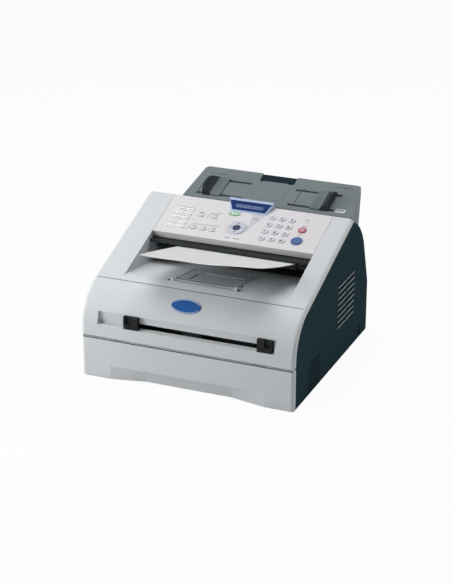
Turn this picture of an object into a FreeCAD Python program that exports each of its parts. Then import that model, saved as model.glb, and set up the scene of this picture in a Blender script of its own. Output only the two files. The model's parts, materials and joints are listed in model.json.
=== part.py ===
import FreeCAD, Part
import math
import os
import re
from types import SimpleNamespace

import Sketcher
from FreeCAD import Placement, Rotation, Vector

# Compact laser fax machine. Millimetres, +Z up, the front faces -Y, the origin is on the floor
# under the middle of the machine.

DIMENSIONS = {
    # whole machine
    "body_width": 374,
    "body_depth": 374,
    "slope": 19.8,
    "front_radius": 79,
    "shoulder_height": 82.7,
    "edge_inset": 7,
    "edge_round": 6.5,
    "cover_wall": 2.5,
    "seam_gap": 0.4,
    "play": 0.3,
    "shaft_play": 0.05,
    # feet, screws and frame
    "foot_height": 2,
    "foot_radius": 8,
    "foot_inset": 21,
    "foot_setback": 37,
    "frame_wall": 3,
    "frame_inset": 9,
    "runner_width": 31,
    "runner_height": 3,
    "deck_height": 75,
    "laser_deck_height": 109,
    "laser_deck_front": 75,
    "laser_deck_rear": 30,
    "screw_radius": 3.5,
    "screw_height": 1.6,
    # side covers and their vents
    "side_thickness": 3,
    "rear_inset": 16,
    "lean_height": 78,
    "lean_depth": 25,
    "lean_drop": 57.2,
    "rear_bulge": 9,
    "vent_front": 18,
    "vent_bottom": 65,
    "vent_slot_length": 37,
    "vent_slot_height": 2.6,
    "vent_slot_pitch": 5.2,
    "vent_column_pitch": 42,
    "vent_rows": 15,
    "grille_setback": 65,
    "grille_bottom": 6,
    "grille_slot_length": 7.5,
    "grille_slot_height": 3,
    "grille_column_pitch": 11,
    "grille_row_pitch": 6,
    "grille_columns": 5,
    "grille_rows": 9,
    "switch_setback": 39,
    "switch_up": 16,
    "switch_width": 10,
    "switch_height": 14,
    "switch_depth": 9,
    "switch_pin_radius": 1.5,
    # front cover
    "front_wall": 2,
    "hinge_round": 4.8,
    "hinge_pin_radius": 1.3,
    "hinge_ear_radius": 2.4,
    "hinge_ear_width": 12,
    "hinge_ear_side": 120,
    "feed_left": 158,
    "feed_right": 152,
    "feed_bottom": 95,
    "feed_top": 117,
    "feed_back": 11,
    "feed_slot_bottom": 96,
    "feed_slot_height": 8.4,
    "feed_centre": 18.5,
    "feed_half": 104,
    "guide_width": 25,
    "guide_height": 22,
    "guide_flange": 3,
    "badge_half_width": 25.5,
    "badge_half_height": 12.5,
    "badge_angle": 48,
    "badge_across": -9.5,
    "badge_thickness": 1.2,
    # cassette
    "cassette_height": 71.8,
    "cassette_clear": 1.5,
    "grip_depth": 12.5,
    "grip_inner": 75,
    "grip_outer": 136,
    "grip_inner_top": 18,
    "grip_outer_top": 25,
    "tray_side_gap": 18,
    "tray_wall": 2.5,
    "tray_rear_gap": 9,
    "tray_height": 63,
    "plate_half_width": 108,
    "plate_front_gap": 19.5,
    "plate_length": 210,
    "plate_thickness": 1.5,
    "plate_pin_radius": 2,
    "plate_ear_radius": 5,
    # top cover and output recess
    "recess_half": 145.1,
    "recess_centre": 6.5,
    "recess_start": 16,
    "recess_blend": 30,
    "recess_under": 34,
    "flap_half": 53,
    "flap_exit_gap": 22.6,
    "flap_thickness": 2.4,
    "flap_pin_radius": 1.5,
    "flap_ear_width": 5,
    "flap_setback": 9,
    # control panel
    "panel_setback": 197.1,
    "panel_length": 100,
    "panel_half": 144.5,
    "panel_depth": 8,
    "panel_skin": 2.5,
    "panel_apron": 4.2,
    "panel_pin_radius": 3,
    "panel_pin_inset": 7,
    "panel_pin_drop": 4.5,
    "hood_centre": 6.5,
    "hood_front_half": 32,
    "hood_rear_half": 40.7,
    "hood_start": 78,
    "hood_tilt": 25,
    "hood_lip": 1,
    "window_border": 2.2,
    "window_thickness": 1.2,
    # keys
    "key_rise": 1.8,
    "key_depth": 3.2,
    "key_round": 0.8,
    "number_width": 13,
    "number_length": 10,
    "number_column": 52,
    "number_row": 18.6,
    "number_pitch_across": 17.75,
    "number_pitch_along": 18.2,
    "touch_width": 14,
    "touch_length": 6.6,
    "touch_column": -112.5,
    "touch_row": 18.2,
    "touch_pitch_across": 16.5,
    "touch_pitch_along": 11.5,
    "function_width": 12,
    "function_length": 6.4,
    "mode_width": 21,
    "mode_length": 10,
    "ring_radius": 15.5,
    "ring_bore": 7,
    "ring_across": 2,
    "ring_along": 35,
    "ok_radius": 6.4,
    "stop_radius": 7,
    "start_radius": 9.7,
    "action_across": 113,
    "stop_along": 53,
    "start_along": 24.5,
    "mode_across": -15.5,
    "mode_along": 70.4,
    "function_column": -72,
    "function_pitch": 17,
    "function_upper_pitch": 25,
    "function_lower_row": 20.5,
    "function_upper_row": 54,
    # document path
    "guide_drop": 13,
    "guide_plate": 3,
    "shelf_overhang": 12,
    "shelf_thickness": 4,
    "guide_overrun": 6,
    "feed_roller_along": 56,
    "feed_roller_radius": 8,
    "feed_roller_length": 200,
    "feed_roller_proud": 1,
    "bar_length": 226,
    "bar_width": 14,
    "bar_height": 10,
    "bar_along": 24,
    # document tray
    "hopper_tilt": 16.1,
    "hopper_height": 258,
    "hopper_gap": 13,
    "hopper_left_inset": 57,
    "hopper_right_inset": 6,
    "hopper_left_taper": 8,
    "hopper_right_taper": 15,
    "hopper_wall": 3,
    "hopper_lip_depth": 24,
    "hopper_lip_inset": 9,
    "hopper_foot_inset": 27,
    "hopper_centre": 18,
    "notch_half": 32,
    "notch_depth": 22,
    "hopper_round": 8,
    "stop_half": 111,
    "fin_height": 16.5,
    "fin_thickness": 4,
    "fin_foot": 28,
    "track_width": 5,
    "track_front": 14,
    "track_rear": 58,
    "track_length": 84,
    "extension_half": 28,
    "extension_length": 52,
    "extension_thickness": 1.3,
    # rear cover and door
    "rear_wall": 2.5,
    "door_half": 125,
    "door_margin": 8,
    "door_pin_radius": 2,
    "socket_across": 140,
    "socket_up": 26,
    "inlet_width": 24,
    "inlet_height": 16,
    "inlet_depth": 19,
    "jack_width": 11,
    "jack_height": 9,
    "jack_pitch": 18,
    "jack_depth": 14,
    "socket_wall": 2,
    # print engine
    "shaft_radius": 3,
    "pickup_radius": 18,
    "pickup_length": 32,
    "pickup_setback": 47,
    "pickup_up": 85,
    "fuser_radius": 12,
    "fuser_length": 220,
    "fuser_setback": 59,
    "fuser_up": 100,
    "exit_radius": 7,
    "exit_length": 230,
    "exit_setback": 20,
    "exit_drop": 33.9,
    "toner_setback": 71,
    "toner_length": 76,
    "toner_height": 30,
    "toner_half": 118,
    "drum_gap": 2,
    "drum_length": 96,
    "drum_height": 28,
    "drum_half": 121,
    "laser_half": 95,
    "laser_height": 24,
    "laser_gap": 3.7,
    "board_front": 36,
    "board_length": 64,
    "board_bottom": 84,
    "board_height": 64,
    "board_thickness": 1.6,
    # page leaving the print exit
    "page_width": 210,
    "page_thickness": 0.3,
    "page_tilt": 15,
    "page_inset": 15,
    "page_rise": 51.9,
    "page_corner_rise": 4.5,
    "page_sag": 4,
}

doc = FreeCAD.newDocument("fax_machine")
sheet = doc.addObject("Spreadsheet::Sheet", "dims")
for row, (name, number) in enumerate(DIMENSIONS.items(), start=1):
    sheet.set(f"A{row}", name)
    sheet.set(f"B{row}", str(number))
    sheet.setAlias(f"B{row}", name)
doc.recompute()
dim = SimpleNamespace(**{name: float(sheet.get(name)) for name in DIMENSIONS})

# Places worked out from the driving dimensions, in (y, z) pairs seen from the right side.
SLOPE = math.radians(dim.slope)
HALF = dim.body_width / 2
FRONT = -dim.body_depth / 2
ARC_Y = FRONT + dim.front_radius
ARC_Z = dim.shoulder_height
SEAM = (ARC_Y - dim.front_radius * math.sin(SLOPE), ARC_Z + dim.front_radius * math.cos(SLOPE))
PANEL_FRONT = dim.body_depth / 2 - dim.panel_setback
PANEL_START = (PANEL_FRONT - SEAM[0]) / math.cos(SLOPE)
TOP_LENGTH = PANEL_START + dim.panel_length
REAR_FACE = dim.body_depth / 2 - dim.rear_inset
SHELF_FRONT = PANEL_FRONT - dim.shelf_overhang
EXIT_BACK = PANEL_FRONT + dim.exit_setback
EXIT_UP = SEAM[1] + PANEL_START * math.sin(SLOPE) - dim.exit_drop
SWITCH_BACK = REAR_FACE - dim.switch_setback
AXIS_Y = FRONT + dim.hinge_round
AXIS_Z = dim.cassette_height + dim.seam_gap + dim.hinge_round
FRAME_FACE = HALF - dim.side_thickness
FRAME_INNER = FRAME_FACE - dim.frame_wall
DECK_TOP = dim.deck_height + dim.frame_wall
SWITCH_X = HALF + dim.side_thickness / 3 - dim.switch_depth
SUBPARTS = []

# The same places as expressions for the objects that are bound to the sheet.
FRONT_TEXT = "(-body_depth / 2)"
HALF_TEXT = "(body_width / 2)"
FRAME_FACE_TEXT = "(body_width / 2 - side_thickness)"
FRAME_INNER_TEXT = "(body_width / 2 - side_thickness - frame_wall)"
DECK_TOP_TEXT = "(deck_height + frame_wall)"
SEAM_Y_TEXT = "(-body_depth / 2 + front_radius - front_radius * sin(slope))"
SEAM_Z_TEXT = "(shoulder_height + front_radius * cos(slope))"
REAR_FACE_TEXT = "(body_depth / 2 - rear_inset)"
PANEL_START_TEXT = f"((body_depth / 2 - panel_setback - {SEAM_Y_TEXT}) / cos(slope))"
EXIT_BACK_TEXT = "(body_depth / 2 - panel_setback + exit_setback)"
EXIT_UP_TEXT = f"({SEAM_Z_TEXT} + {PANEL_START_TEXT} * sin(slope) - exit_drop)"
TOP_RISE_TEXT = f"(({PANEL_START_TEXT} + panel_length) * sin(slope))"
TOP_END_Z_TEXT = f"({SEAM_Z_TEXT} + {TOP_RISE_TEXT} - edge_inset * cos(slope))"
LEAN_FOOT_Z_TEXT = f"({TOP_END_Z_TEXT} - lean_drop - lean_height)"
PICKUP_BACK_TEXT = "(pickup_setback - body_depth / 2)"
FUSER_BACK_TEXT = f"({REAR_FACE_TEXT} - fuser_setback)"
SWITCH_BACK_TEXT = f"({REAR_FACE_TEXT} - switch_setback)"
TONER_FRONT_TEXT = "(toner_setback - body_depth / 2)"
TRAY_BOTTOM_TEXT = "(foot_height + runner_height + play)"
TRAY_HALF_TEXT = f"({FRAME_INNER_TEXT} - tray_side_gap)"
TRAY_REAR_TEXT = f"({REAR_FACE_TEXT} - frame_inset - frame_wall - tray_rear_gap)"
TRAY_FRONT_TEXT = "(-body_depth / 2 + grip_depth + cover_wall)"
PLATE_HINGE_TEXT = f"({TRAY_FRONT_TEXT} + tray_wall + plate_front_gap + plate_length)"
AXIS_Y_TEXT = "(-body_depth / 2 + hinge_round)"
AXIS_Z_TEXT = "(cassette_height + seam_gap + hinge_round)"
TURNS = {"X": Rotation(Vector(0, 1, 0), 90), "Y": Rotation(Vector(1, 0, 0), -90), "Z": Rotation()}


def linked(text):
    """Writes the sheet's name before every dimension in an expression."""
    return re.sub(r"[a-z][a-z_]*", lambda m: f"dims.{m[0]}" if m[0] in DIMENSIONS else m[0], str(text))


def bind(obj, **texts):
    """Binds properties of an object to expressions on the sheet."""
    for name, text in texts.items():
        obj.setExpression(name.replace("__", "."), linked(text))
    return obj


def at(obj, corner):
    """Binds the position of an object."""
    return bind(obj, **{f"Placement__Base__{axis}": text for axis, text in zip("xyz", corner)})


def box(name, lengths, corner):
    """A bound box from its three lengths and its lowest corner."""
    obj = doc.addObject("Part::Box", name)
    bind(obj, Length=lengths[0], Width=lengths[1], Height=lengths[2])
    return at(obj, corner)


def rod(name, radius, length, start, along="X"):
    """A bound cylinder from the centre of its first end."""
    obj = doc.addObject("Part::Cylinder", name)
    obj.Placement = Placement(Vector(), TURNS[along])
    bind(obj, Radius=radius, Height=length)
    return at(obj, start)


def fused(name, pieces):
    """One solid of several overlapping pieces."""
    obj = doc.addObject("Part::MultiFuse", name)
    obj.Shapes = pieces
    return obj


def cut(name, base, tools):
    """A base with tools taken out of it."""
    together = doc.addObject("Part::MultiFuse", f"{name}_tools") if len(tools) > 1 else tools[0]
    if len(tools) > 1:
        together.Shapes = tools
    obj = doc.addObject("Part::Cut", name)
    obj.Base = base
    obj.Tool = together
    return obj


def group(name, pieces):
    """Separate solids that share one node."""
    obj = doc.addObject("Part::Compound", name)
    obj.Links = pieces
    return obj


def feature(name, shape):
    """An object that holds a worked-out shape."""
    obj = doc.addObject("Part::Feature", name)
    obj.Shape = shape
    return obj


def keep(obj, label):
    """Names a finished sub-part."""
    obj.Label = label
    SUBPARTS.append(obj)
    return obj


def top_point(along, drop=0.0):
    """A point along the sloping top from the seam, and below it by drop."""
    y = SEAM[0] + along * math.cos(SLOPE) + drop * math.sin(SLOPE)
    return (y, SEAM[1] + along * math.sin(SLOPE) - drop * math.cos(SLOPE))


def slope_texts(along, above):
    """Expressions of y and z for a place along the sloping top and above it."""
    return (
        f"{SEAM_Y_TEXT} + ({along}) * cos(slope) - ({above}) * sin(slope)",
        f"{SEAM_Z_TEXT} + ({along}) * sin(slope) + ({above}) * cos(slope)",
    )


def on_panel(obj, across, along, above):
    """Stands an object on the sloping panel, along from its front edge."""
    obj.Placement = Placement(Vector(), Rotation(Vector(1, 0, 0), 1))
    at(obj, (across, *slope_texts(f"{PANEL_START_TEXT} + {along}", above)))
    return bind(obj, Placement__Rotation__Angle="slope")


def line(start, end):
    """A straight edge in the side view."""
    return Part.LineSegment(Vector(0, *start), Vector(0, *end)).toShape()


def arc(start, through, end):
    """A round edge in the side view."""
    return Part.Arc(Vector(0, *start), Vector(0, *through), Vector(0, *end)).toShape()


def side_face(edges):
    """A face in the side view from its closed edges."""
    return Part.Face(Part.Wire(edges))


def side_polygon(*points):
    """A straight-edged face in the side view."""
    return Part.Face(Part.makePolygon([Vector(0, *p) for p in (*points, points[0])]))


def across(face, start, end):
    """Carries a side-view face across the machine."""
    moved = face.copy()
    moved.translate(Vector(start, 0, 0))
    return moved.extrude(Vector(end - start, 0, 0))


def plan_prism(points, low, high):
    """A straight-edged plan carried upwards."""
    wire = Part.makePolygon([Vector(x, y, low) for x, y in (*points, points[0])])
    return Part.Face(wire).extrude(Vector(0, 0, high - low))


def front_edge(inset, angle):
    """A point of the front's curve, inset from it, at an angle above the horizontal."""
    radius = dim.front_radius - inset
    return (ARC_Y - radius * math.cos(angle), ARC_Z + radius * math.sin(angle))


def front_band(outer, inner, low, end):
    """The face between two insets of the front's curve, from a height up to an angle."""
    return side_face(
        [
            line((FRONT + outer, low), front_edge(outer, 0)),
            arc(front_edge(outer, 0), front_edge(outer, end / 2), front_edge(outer, end)),
            line(front_edge(outer, end), front_edge(inner, end)),
            arc(front_edge(inner, end), front_edge(inner, end / 2), front_edge(inner, 0)),
            line(front_edge(inner, 0), (FRONT + inner, low)),
            line((FRONT + inner, low), (FRONT + outer, low)),
        ]
    )


CURVE_END = math.pi / 2 - SLOPE
TOP_END = top_point(TOP_LENGTH, dim.edge_inset)
LEAN_TOP = (REAR_FACE - dim.lean_depth, TOP_END[1] - dim.lean_drop)
LEAN_FOOT = (REAR_FACE, LEAN_TOP[1] - dim.lean_height)


def bulge_point(start, end, depth):
    """The middle of an arc between two points, standing out to the rear by depth."""
    run = (end[0] - start[0], end[1] - start[1])
    length = math.hypot(*run)
    middle = ((start[0] + end[0]) / 2, (start[1] + end[1]) / 2)
    return (middle[0] - run[1] / length * depth, middle[1] + run[0] / length * depth)


def side_outline():
    """The machine's outline behind the pale covers, seen from the right side."""
    inset = dim.edge_inset
    foot = dim.foot_height
    return Part.Wire(
        [
            line((FRONT + inset, foot), front_edge(inset, 0)),
            arc(front_edge(inset, 0), front_edge(inset, CURVE_END / 2), front_edge(inset, CURVE_END)),
            line(front_edge(inset, CURVE_END), TOP_END),
            arc(TOP_END, bulge_point(TOP_END, LEAN_TOP, dim.rear_bulge), LEAN_TOP),
            line(LEAN_TOP, LEAN_FOOT),
            line(LEAN_FOOT, (REAR_FACE, foot)),
            line((REAR_FACE, foot), (FRONT + inset, foot)),
        ]
    )


def rear_cover_wire(inset):
    """The rear outline's points, inset, from the top edge down to the foot: an arc, then two lines."""
    top = top_point(TOP_LENGTH + dim.play, dim.edge_inset + inset)
    lean_top = (LEAN_TOP[0] - inset, LEAN_TOP[1])
    lean_foot = (LEAN_FOOT[0] - inset, LEAN_FOOT[1])
    foot = (REAR_FACE - inset, dim.foot_height)
    bulged = bulge_point(top, lean_top, dim.rear_bulge)
    return top, bulged, lean_top, lean_foot, foot


def outer_edges(solid, x):
    """Edges of a solid that lie in the plane at x."""
    found = []
    for edge in solid.Edges:
        limits = edge.BoundBox
        if abs(limits.XMin - x) < 1e-6 and abs(limits.XMax - x) < 1e-6:
            found.append(edge)
    return found


def make_side_covers():
    """Two dark side plates; the right one has two vents and the power switch's window."""
    plate = across(Part.Face(side_outline()), FRAME_FACE, HALF)
    plate = plate.makeFillet(dim.side_thickness / 3, outer_edges(plate, HALF))
    hinge_room = Part.makeCylinder(
        dim.hinge_round + dim.play, dim.body_width, Vector(-HALF, AXIS_Y, AXIS_Z), Vector(1, 0, 0)
    )
    right = plate.cut(hinge_room)
    left = right.mirror(Vector(), Vector(1, 0, 0))
    keep(feature("left_side_cover", left), "left_side_cover")

    def slot(y, z, length, height):
        corner = Vector(FRAME_FACE - dim.side_thickness, y, z)
        return Part.makeBox(dim.side_thickness * 3, length, height, corner)

    slots = [
        slot(
            dim.vent_front + column * dim.vent_column_pitch,
            dim.vent_bottom + row * dim.vent_slot_pitch,
            dim.vent_slot_length,
            dim.vent_slot_height,
        )
        for column in range(2)
        for row in range(int(dim.vent_rows))
    ]
    slots += [
        slot(
            FRONT + dim.grille_setback + column * dim.grille_column_pitch,
            dim.grille_bottom + row * dim.grille_row_pitch,
            dim.grille_slot_length,
            dim.grille_slot_height,
        )
        for column in range(int(dim.grille_columns))
        for row in range(int(dim.grille_rows))
    ]
    slots.append(
        slot(
            SWITCH_BACK - dim.switch_width / 2 - dim.play,
            dim.switch_up - dim.switch_height / 2 - dim.play,
            dim.switch_width + 2 * dim.play,
            dim.switch_height + 2 * dim.play,
        )
    )
    right = right.cut(Part.makeCompound(slots))
    ear_depth = dim.switch_depth / 2 + 2 * dim.switch_pin_radius
    for start in (
        SWITCH_BACK + dim.switch_width / 2 + 2 * dim.play,
        SWITCH_BACK - dim.switch_width / 2 - 2 * dim.play - dim.side_thickness,
    ):
        ear = Part.makeBox(
            ear_depth + dim.side_thickness / 3,
            dim.side_thickness,
            6 * dim.switch_pin_radius,
            Vector(FRAME_FACE - ear_depth, start, dim.switch_up - 3 * dim.switch_pin_radius),
        )
        right = right.fuse(ear)
    pin_hole = Part.makeCylinder(
        dim.switch_pin_radius + dim.shaft_play,
        dim.switch_width + 2 * (dim.side_thickness + 2 * dim.play),
        Vector(
            SWITCH_X,
            SWITCH_BACK - dim.switch_width / 2 - dim.side_thickness - 2 * dim.play,
            dim.switch_up,
        ),
        Vector(0, 1, 0),
    )
    keep(feature("right_side_cover", right.cut(pin_hole).removeSplitter()), "right_side_cover")


def make_frame():
    """The frame: two inner walls, a deck over the cassette, a laser deck, runners and a rear wall."""
    inner = side_outline().makeOffset2D(-dim.frame_inset)
    wall = across(Part.Face(inner), FRAME_INNER, FRAME_FACE)
    skirt = across(
        side_polygon(
            (FRONT + dim.edge_inset + dim.frame_inset, dim.foot_height),
            (FRONT + dim.edge_inset + dim.frame_inset, dim.foot_height + 2 * dim.frame_inset),
            (REAR_FACE - dim.frame_inset, dim.foot_height + 2 * dim.frame_inset),
            (REAR_FACE - dim.frame_inset, dim.foot_height),
        ),
        FRAME_INNER,
        FRAME_FACE,
    )
    right = wall.fuse(skirt).removeSplitter()
    walls = [feature("frame_wall_right", right)]
    walls.append(feature("frame_wall_left", right.mirror(Vector(), Vector(1, 0, 0))))
    inside = f"2 * {FRAME_INNER_TEXT}"
    front = f"{FRONT_TEXT} + edge_inset + 2 * frame_inset"
    rear = f"{REAR_FACE_TEXT} - frame_inset"
    deck = box(
        "frame_deck",
        (inside, f"{rear} - ({front})", "frame_wall"),
        (f"-{FRAME_INNER_TEXT}", front, "deck_height"),
    )
    laser_deck = box(
        "frame_laser_deck",
        (inside, "laser_deck_front + laser_deck_rear", "frame_wall"),
        (f"-{FRAME_INNER_TEXT}", "-laser_deck_front", "laser_deck_height"),
    )
    back = box(
        "frame_back",
        (inside, "frame_wall", "deck_height + frame_wall - foot_height"),
        (f"-{FRAME_INNER_TEXT}", f"{rear} - frame_wall", "foot_height"),
    )
    runners = [
        box(
            f"frame_runner_{side}",
            ("runner_width", f"{rear} - ({front}) + frame_inset", "runner_height"),
            (corner, f"{front} - frame_inset", "foot_height"),
        )
        for side, corner in (
            ("left", f"-{FRAME_INNER_TEXT}"),
            ("right", f"{FRAME_INNER_TEXT} - runner_width"),
        )
    ]
    ears = []
    for side, sign in (("left", "-1"), ("right", "1")):
        start = f"{sign} * hinge_ear_side - hinge_ear_width / 2"
        ears.append(
            rod(f"frame_ear_{side}", "hinge_ear_radius", "hinge_ear_width", (start, AXIS_Y_TEXT, AXIS_Z_TEXT))
        )
        ears.append(
            box(
                f"frame_neck_{side}",
                ("hinge_ear_width", f"{front} - {AXIS_Y_TEXT} + frame_inset", "2 * hinge_ear_radius"),
                (start, AXIS_Y_TEXT, f"{AXIS_Z_TEXT} - hinge_ear_radius"),
            )
        )
    body = fused("frame_body", [*walls, deck, laser_deck, back, *runners, *ears])
    across_all = "body_width"
    edge = f"-{HALF_TEXT}"
    holes = [
        rod(
            "frame_hinge_hole", "hinge_pin_radius + shaft_play", across_all,
            (edge, AXIS_Y_TEXT, AXIS_Z_TEXT),
        ),
        rod(
            "frame_pickup_hole", "shaft_radius + shaft_play", across_all,
            (edge, PICKUP_BACK_TEXT, "pickup_up"),
        ),
        rod("frame_exit_hole", "shaft_radius + shaft_play", across_all, (edge, EXIT_BACK_TEXT, EXIT_UP_TEXT)),
        rod("frame_fuser_hole", "shaft_radius + shaft_play", across_all, (edge, FUSER_BACK_TEXT, "fuser_up")),
        rod(
            "frame_pressure_hole",
            "shaft_radius + shaft_play",
            across_all,
            (edge, FUSER_BACK_TEXT, "fuser_up + 2 * fuser_radius + play"),
        ),
        box(
            "frame_pickup_window",
            ("pickup_length + 8 * play", "2 * pickup_radius + 8 * play", "3 * frame_wall"),
            (
                "-pickup_length / 2 - 4 * play",
                f"{PICKUP_BACK_TEXT} - pickup_radius - 4 * play",
                "deck_height - frame_wall",
            ),
        ),
        box(
            "frame_switch_window",
            ("3 * frame_wall", "switch_width + 8 * frame_wall", "switch_height + 3 * frame_wall"),
            (
                f"{FRAME_INNER_TEXT} - frame_wall",
                f"{SWITCH_BACK_TEXT} - switch_width / 2 - 4 * frame_wall",
                "switch_up - switch_height / 2 - frame_wall",
            ),
        ),
    ]
    for index, (place, width, height) in enumerate(
        (
            ("socket_across", "inlet_width + 2 * socket_wall", "inlet_height + 2 * socket_wall"),
            (
                "jack_pitch / 2 - socket_across",
                "jack_pitch + jack_width + 4 * socket_wall",
                "jack_height + 4 * socket_wall",
            ),
        )
    ):
        holes.append(
            box(
                f"frame_socket_window_{index}",
                (f"{width} + 2 * frame_wall", "3 * frame_wall", f"{height} + 2 * frame_wall"),
                (
                    f"{place} - ({width}) / 2 - frame_wall",
                    f"{rear} - 2 * frame_wall",
                    f"socket_up - ({height}) / 2 - frame_wall",
                ),
            )
        )
    keep(cut("frame", body, holes), "base_frame")


def make_front_cover():
    """The curved pale cover, hollow behind, with the manual-feed recess, its slot and two hinge pins."""
    low = AXIS_Z - dim.hinge_round
    reach = dim.edge_inset - dim.play
    pan = across(front_band(0, reach, low, CURVE_END), -HALF, HALF)
    corners = []
    for x in (-HALF, HALF):
        for edge in outer_edges(pan, x):
            middle = edge.valueAt((edge.FirstParameter + edge.LastParameter) / 2)
            from_arc = math.hypot(middle.y - ARC_Y, middle.z - ARC_Z)
            if abs(middle.y - FRONT) < 1e-6 or (middle.z > ARC_Z and abs(from_arc - dim.front_radius) < 1e-6):
                corners.append(edge)
    pan = pan.makeFillet(dim.edge_round, corners)
    under = dim.front_wall
    hollow_end = CURVE_END - under / dim.front_radius
    side = HALF - dim.edge_inset + under
    hollow = across(front_band(under, dim.front_radius / 3, low - under, hollow_end), -side, side)
    quarter = Part.makeBox(
        dim.body_width, dim.hinge_round * 2, dim.hinge_round * 2,
        Vector(-HALF, AXIS_Y - dim.hinge_round * 2, AXIS_Z - dim.hinge_round * 2),
    )
    inner_bead = Part.makeCylinder(
        dim.hinge_round - under, 2 * side, Vector(-side, AXIS_Y, AXIS_Z), Vector(1, 0, 0)
    )
    outer_bead = Part.makeCylinder(
        dim.hinge_round, dim.body_width, Vector(-HALF, AXIS_Y, AXIS_Z), Vector(1, 0, 0)
    )
    below = Part.makeBox(
        dim.body_width, dim.edge_inset * 2, dim.hinge_round * 2,
        Vector(-HALF, AXIS_Y, AXIS_Z - dim.hinge_round * 2),
    )
    pan = pan.cut(hollow.cut(quarter).fuse(inner_bead)).cut(quarter.cut(outer_bead)).cut(below)

    inside = across(front_band(0, dim.front_radius / 3, low, CURVE_END), -HALF, HALF)
    back = FRONT + dim.feed_back
    pocket = Part.makeBox(
        dim.feed_left + dim.feed_right + 2 * under,
        dim.feed_back + under,
        dim.feed_top - dim.feed_bottom + 2 * under,
        Vector(-dim.feed_left - under, FRONT, dim.feed_bottom - under),
    ).common(inside)
    recess = Part.makeBox(
        dim.feed_left + dim.feed_right,
        dim.feed_back + under,
        dim.feed_top - dim.feed_bottom,
        Vector(-dim.feed_left, back - dim.feed_back - under, dim.feed_bottom),
    )
    slot = Part.makeBox(
        2 * dim.feed_half + 2 * dim.guide_width - 4 * under,
        3 * dim.feed_back,
        dim.feed_slot_height,
        Vector(
            dim.feed_centre - dim.feed_half - dim.guide_width + 2 * under,
            back - dim.feed_back,
            dim.feed_slot_bottom,
        ),
    )
    pan = pan.fuse(pocket).cut(recess).cut(slot)
    rib_radius = dim.hinge_round - under + dim.play
    gap = dim.hinge_ear_width / 2 + 2 * dim.play
    for sign in (-1, 1):
        centre = sign * dim.hinge_ear_side
        notch = Part.makeBox(
            2 * gap, dim.hinge_round * 4, dim.hinge_round,
            Vector(centre - gap, AXIS_Y - dim.hinge_round * 0.6, AXIS_Z - dim.hinge_round * 1.1),
        )
        pan = pan.cut(notch)
        for start in (centre - gap - under, centre + gap):
            rib = Part.makeCylinder(rib_radius, under, Vector(start, AXIS_Y, AXIS_Z), Vector(1, 0, 0))
            pan = pan.fuse(rib)
        pin = Part.makeCylinder(
            dim.hinge_pin_radius, 2 * gap + under,
            Vector(centre - gap - under / 2, AXIS_Y, AXIS_Z), Vector(1, 0, 0),
        )
        pan = pan.fuse(pin)
    keep(feature("front_cover", pan.removeSplitter()), "front_cover")


def make_badge():
    """A blank oval plate that follows the front cover's curve."""
    rise = dim.badge_thickness
    start = Vector(dim.badge_across - dim.badge_half_width * 2, ARC_Y, ARC_Z)
    length = dim.badge_half_width * 4
    skin = Part.makeCylinder(dim.front_radius + rise, length, start, Vector(1, 0, 0)).cut(
        Part.makeCylinder(dim.front_radius, length, start, Vector(1, 0, 0))
    )
    angle = math.radians(dim.badge_angle)
    outward = Vector(0, -math.cos(angle), math.sin(angle))
    oval = Part.Ellipse(Vector(), dim.badge_half_width, dim.badge_half_height)
    prism = Part.Face(Part.Wire(oval.toShape())).extrude(Vector(0, 0, dim.front_radius))
    prism.Placement = Placement(
        Vector(dim.badge_across, ARC_Y, ARC_Z) + outward * (dim.front_radius / 2),
        Rotation(Vector(0, 0, 1), outward),
    )
    keep(feature("badge", skin.common(prism)), "badge")


def make_manual_guides():
    """Two black guides in the recess, each with a tongue through the slot."""
    back = f"{FRONT_TEXT} + feed_back"
    for side, sign, corner in (
        ("left", -1, "feed_centre - feed_half - guide_width"),
        ("right", 1, "feed_centre + feed_half"),
    ):
        block = box(
            f"guide_block_{side}",
            ("guide_width", "feed_back - play - 1", "guide_height - 2 * play"),
            (corner, f"{FRONT_TEXT} + 1", "feed_bottom + play"),
        )
        groove = box(
            f"guide_groove_{side}",
            ("guide_width / 2 - guide_flange", "2 * feed_back", "guide_height"),
            (
                f"{corner} + guide_flange" if sign < 0 else f"{corner} + guide_width / 2",
                f"{FRONT_TEXT} - feed_back - 2 * guide_flange",
                "feed_slot_bottom + feed_slot_height",
            ),
        )
        tongue = box(
            f"guide_tongue_{side}",
            ("guide_width / 2", "feed_back / 2 + play", "feed_slot_height - 2 * play"),
            (f"{corner} + guide_width / 4", f"{back} - play", "feed_slot_bottom + play"),
        )
        shaped = cut(f"guide_shaped_{side}", block, [groove])
        keep(fused(f"guide_{side}", [shaped, tongue]), f"manual_guide_{side}")


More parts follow.
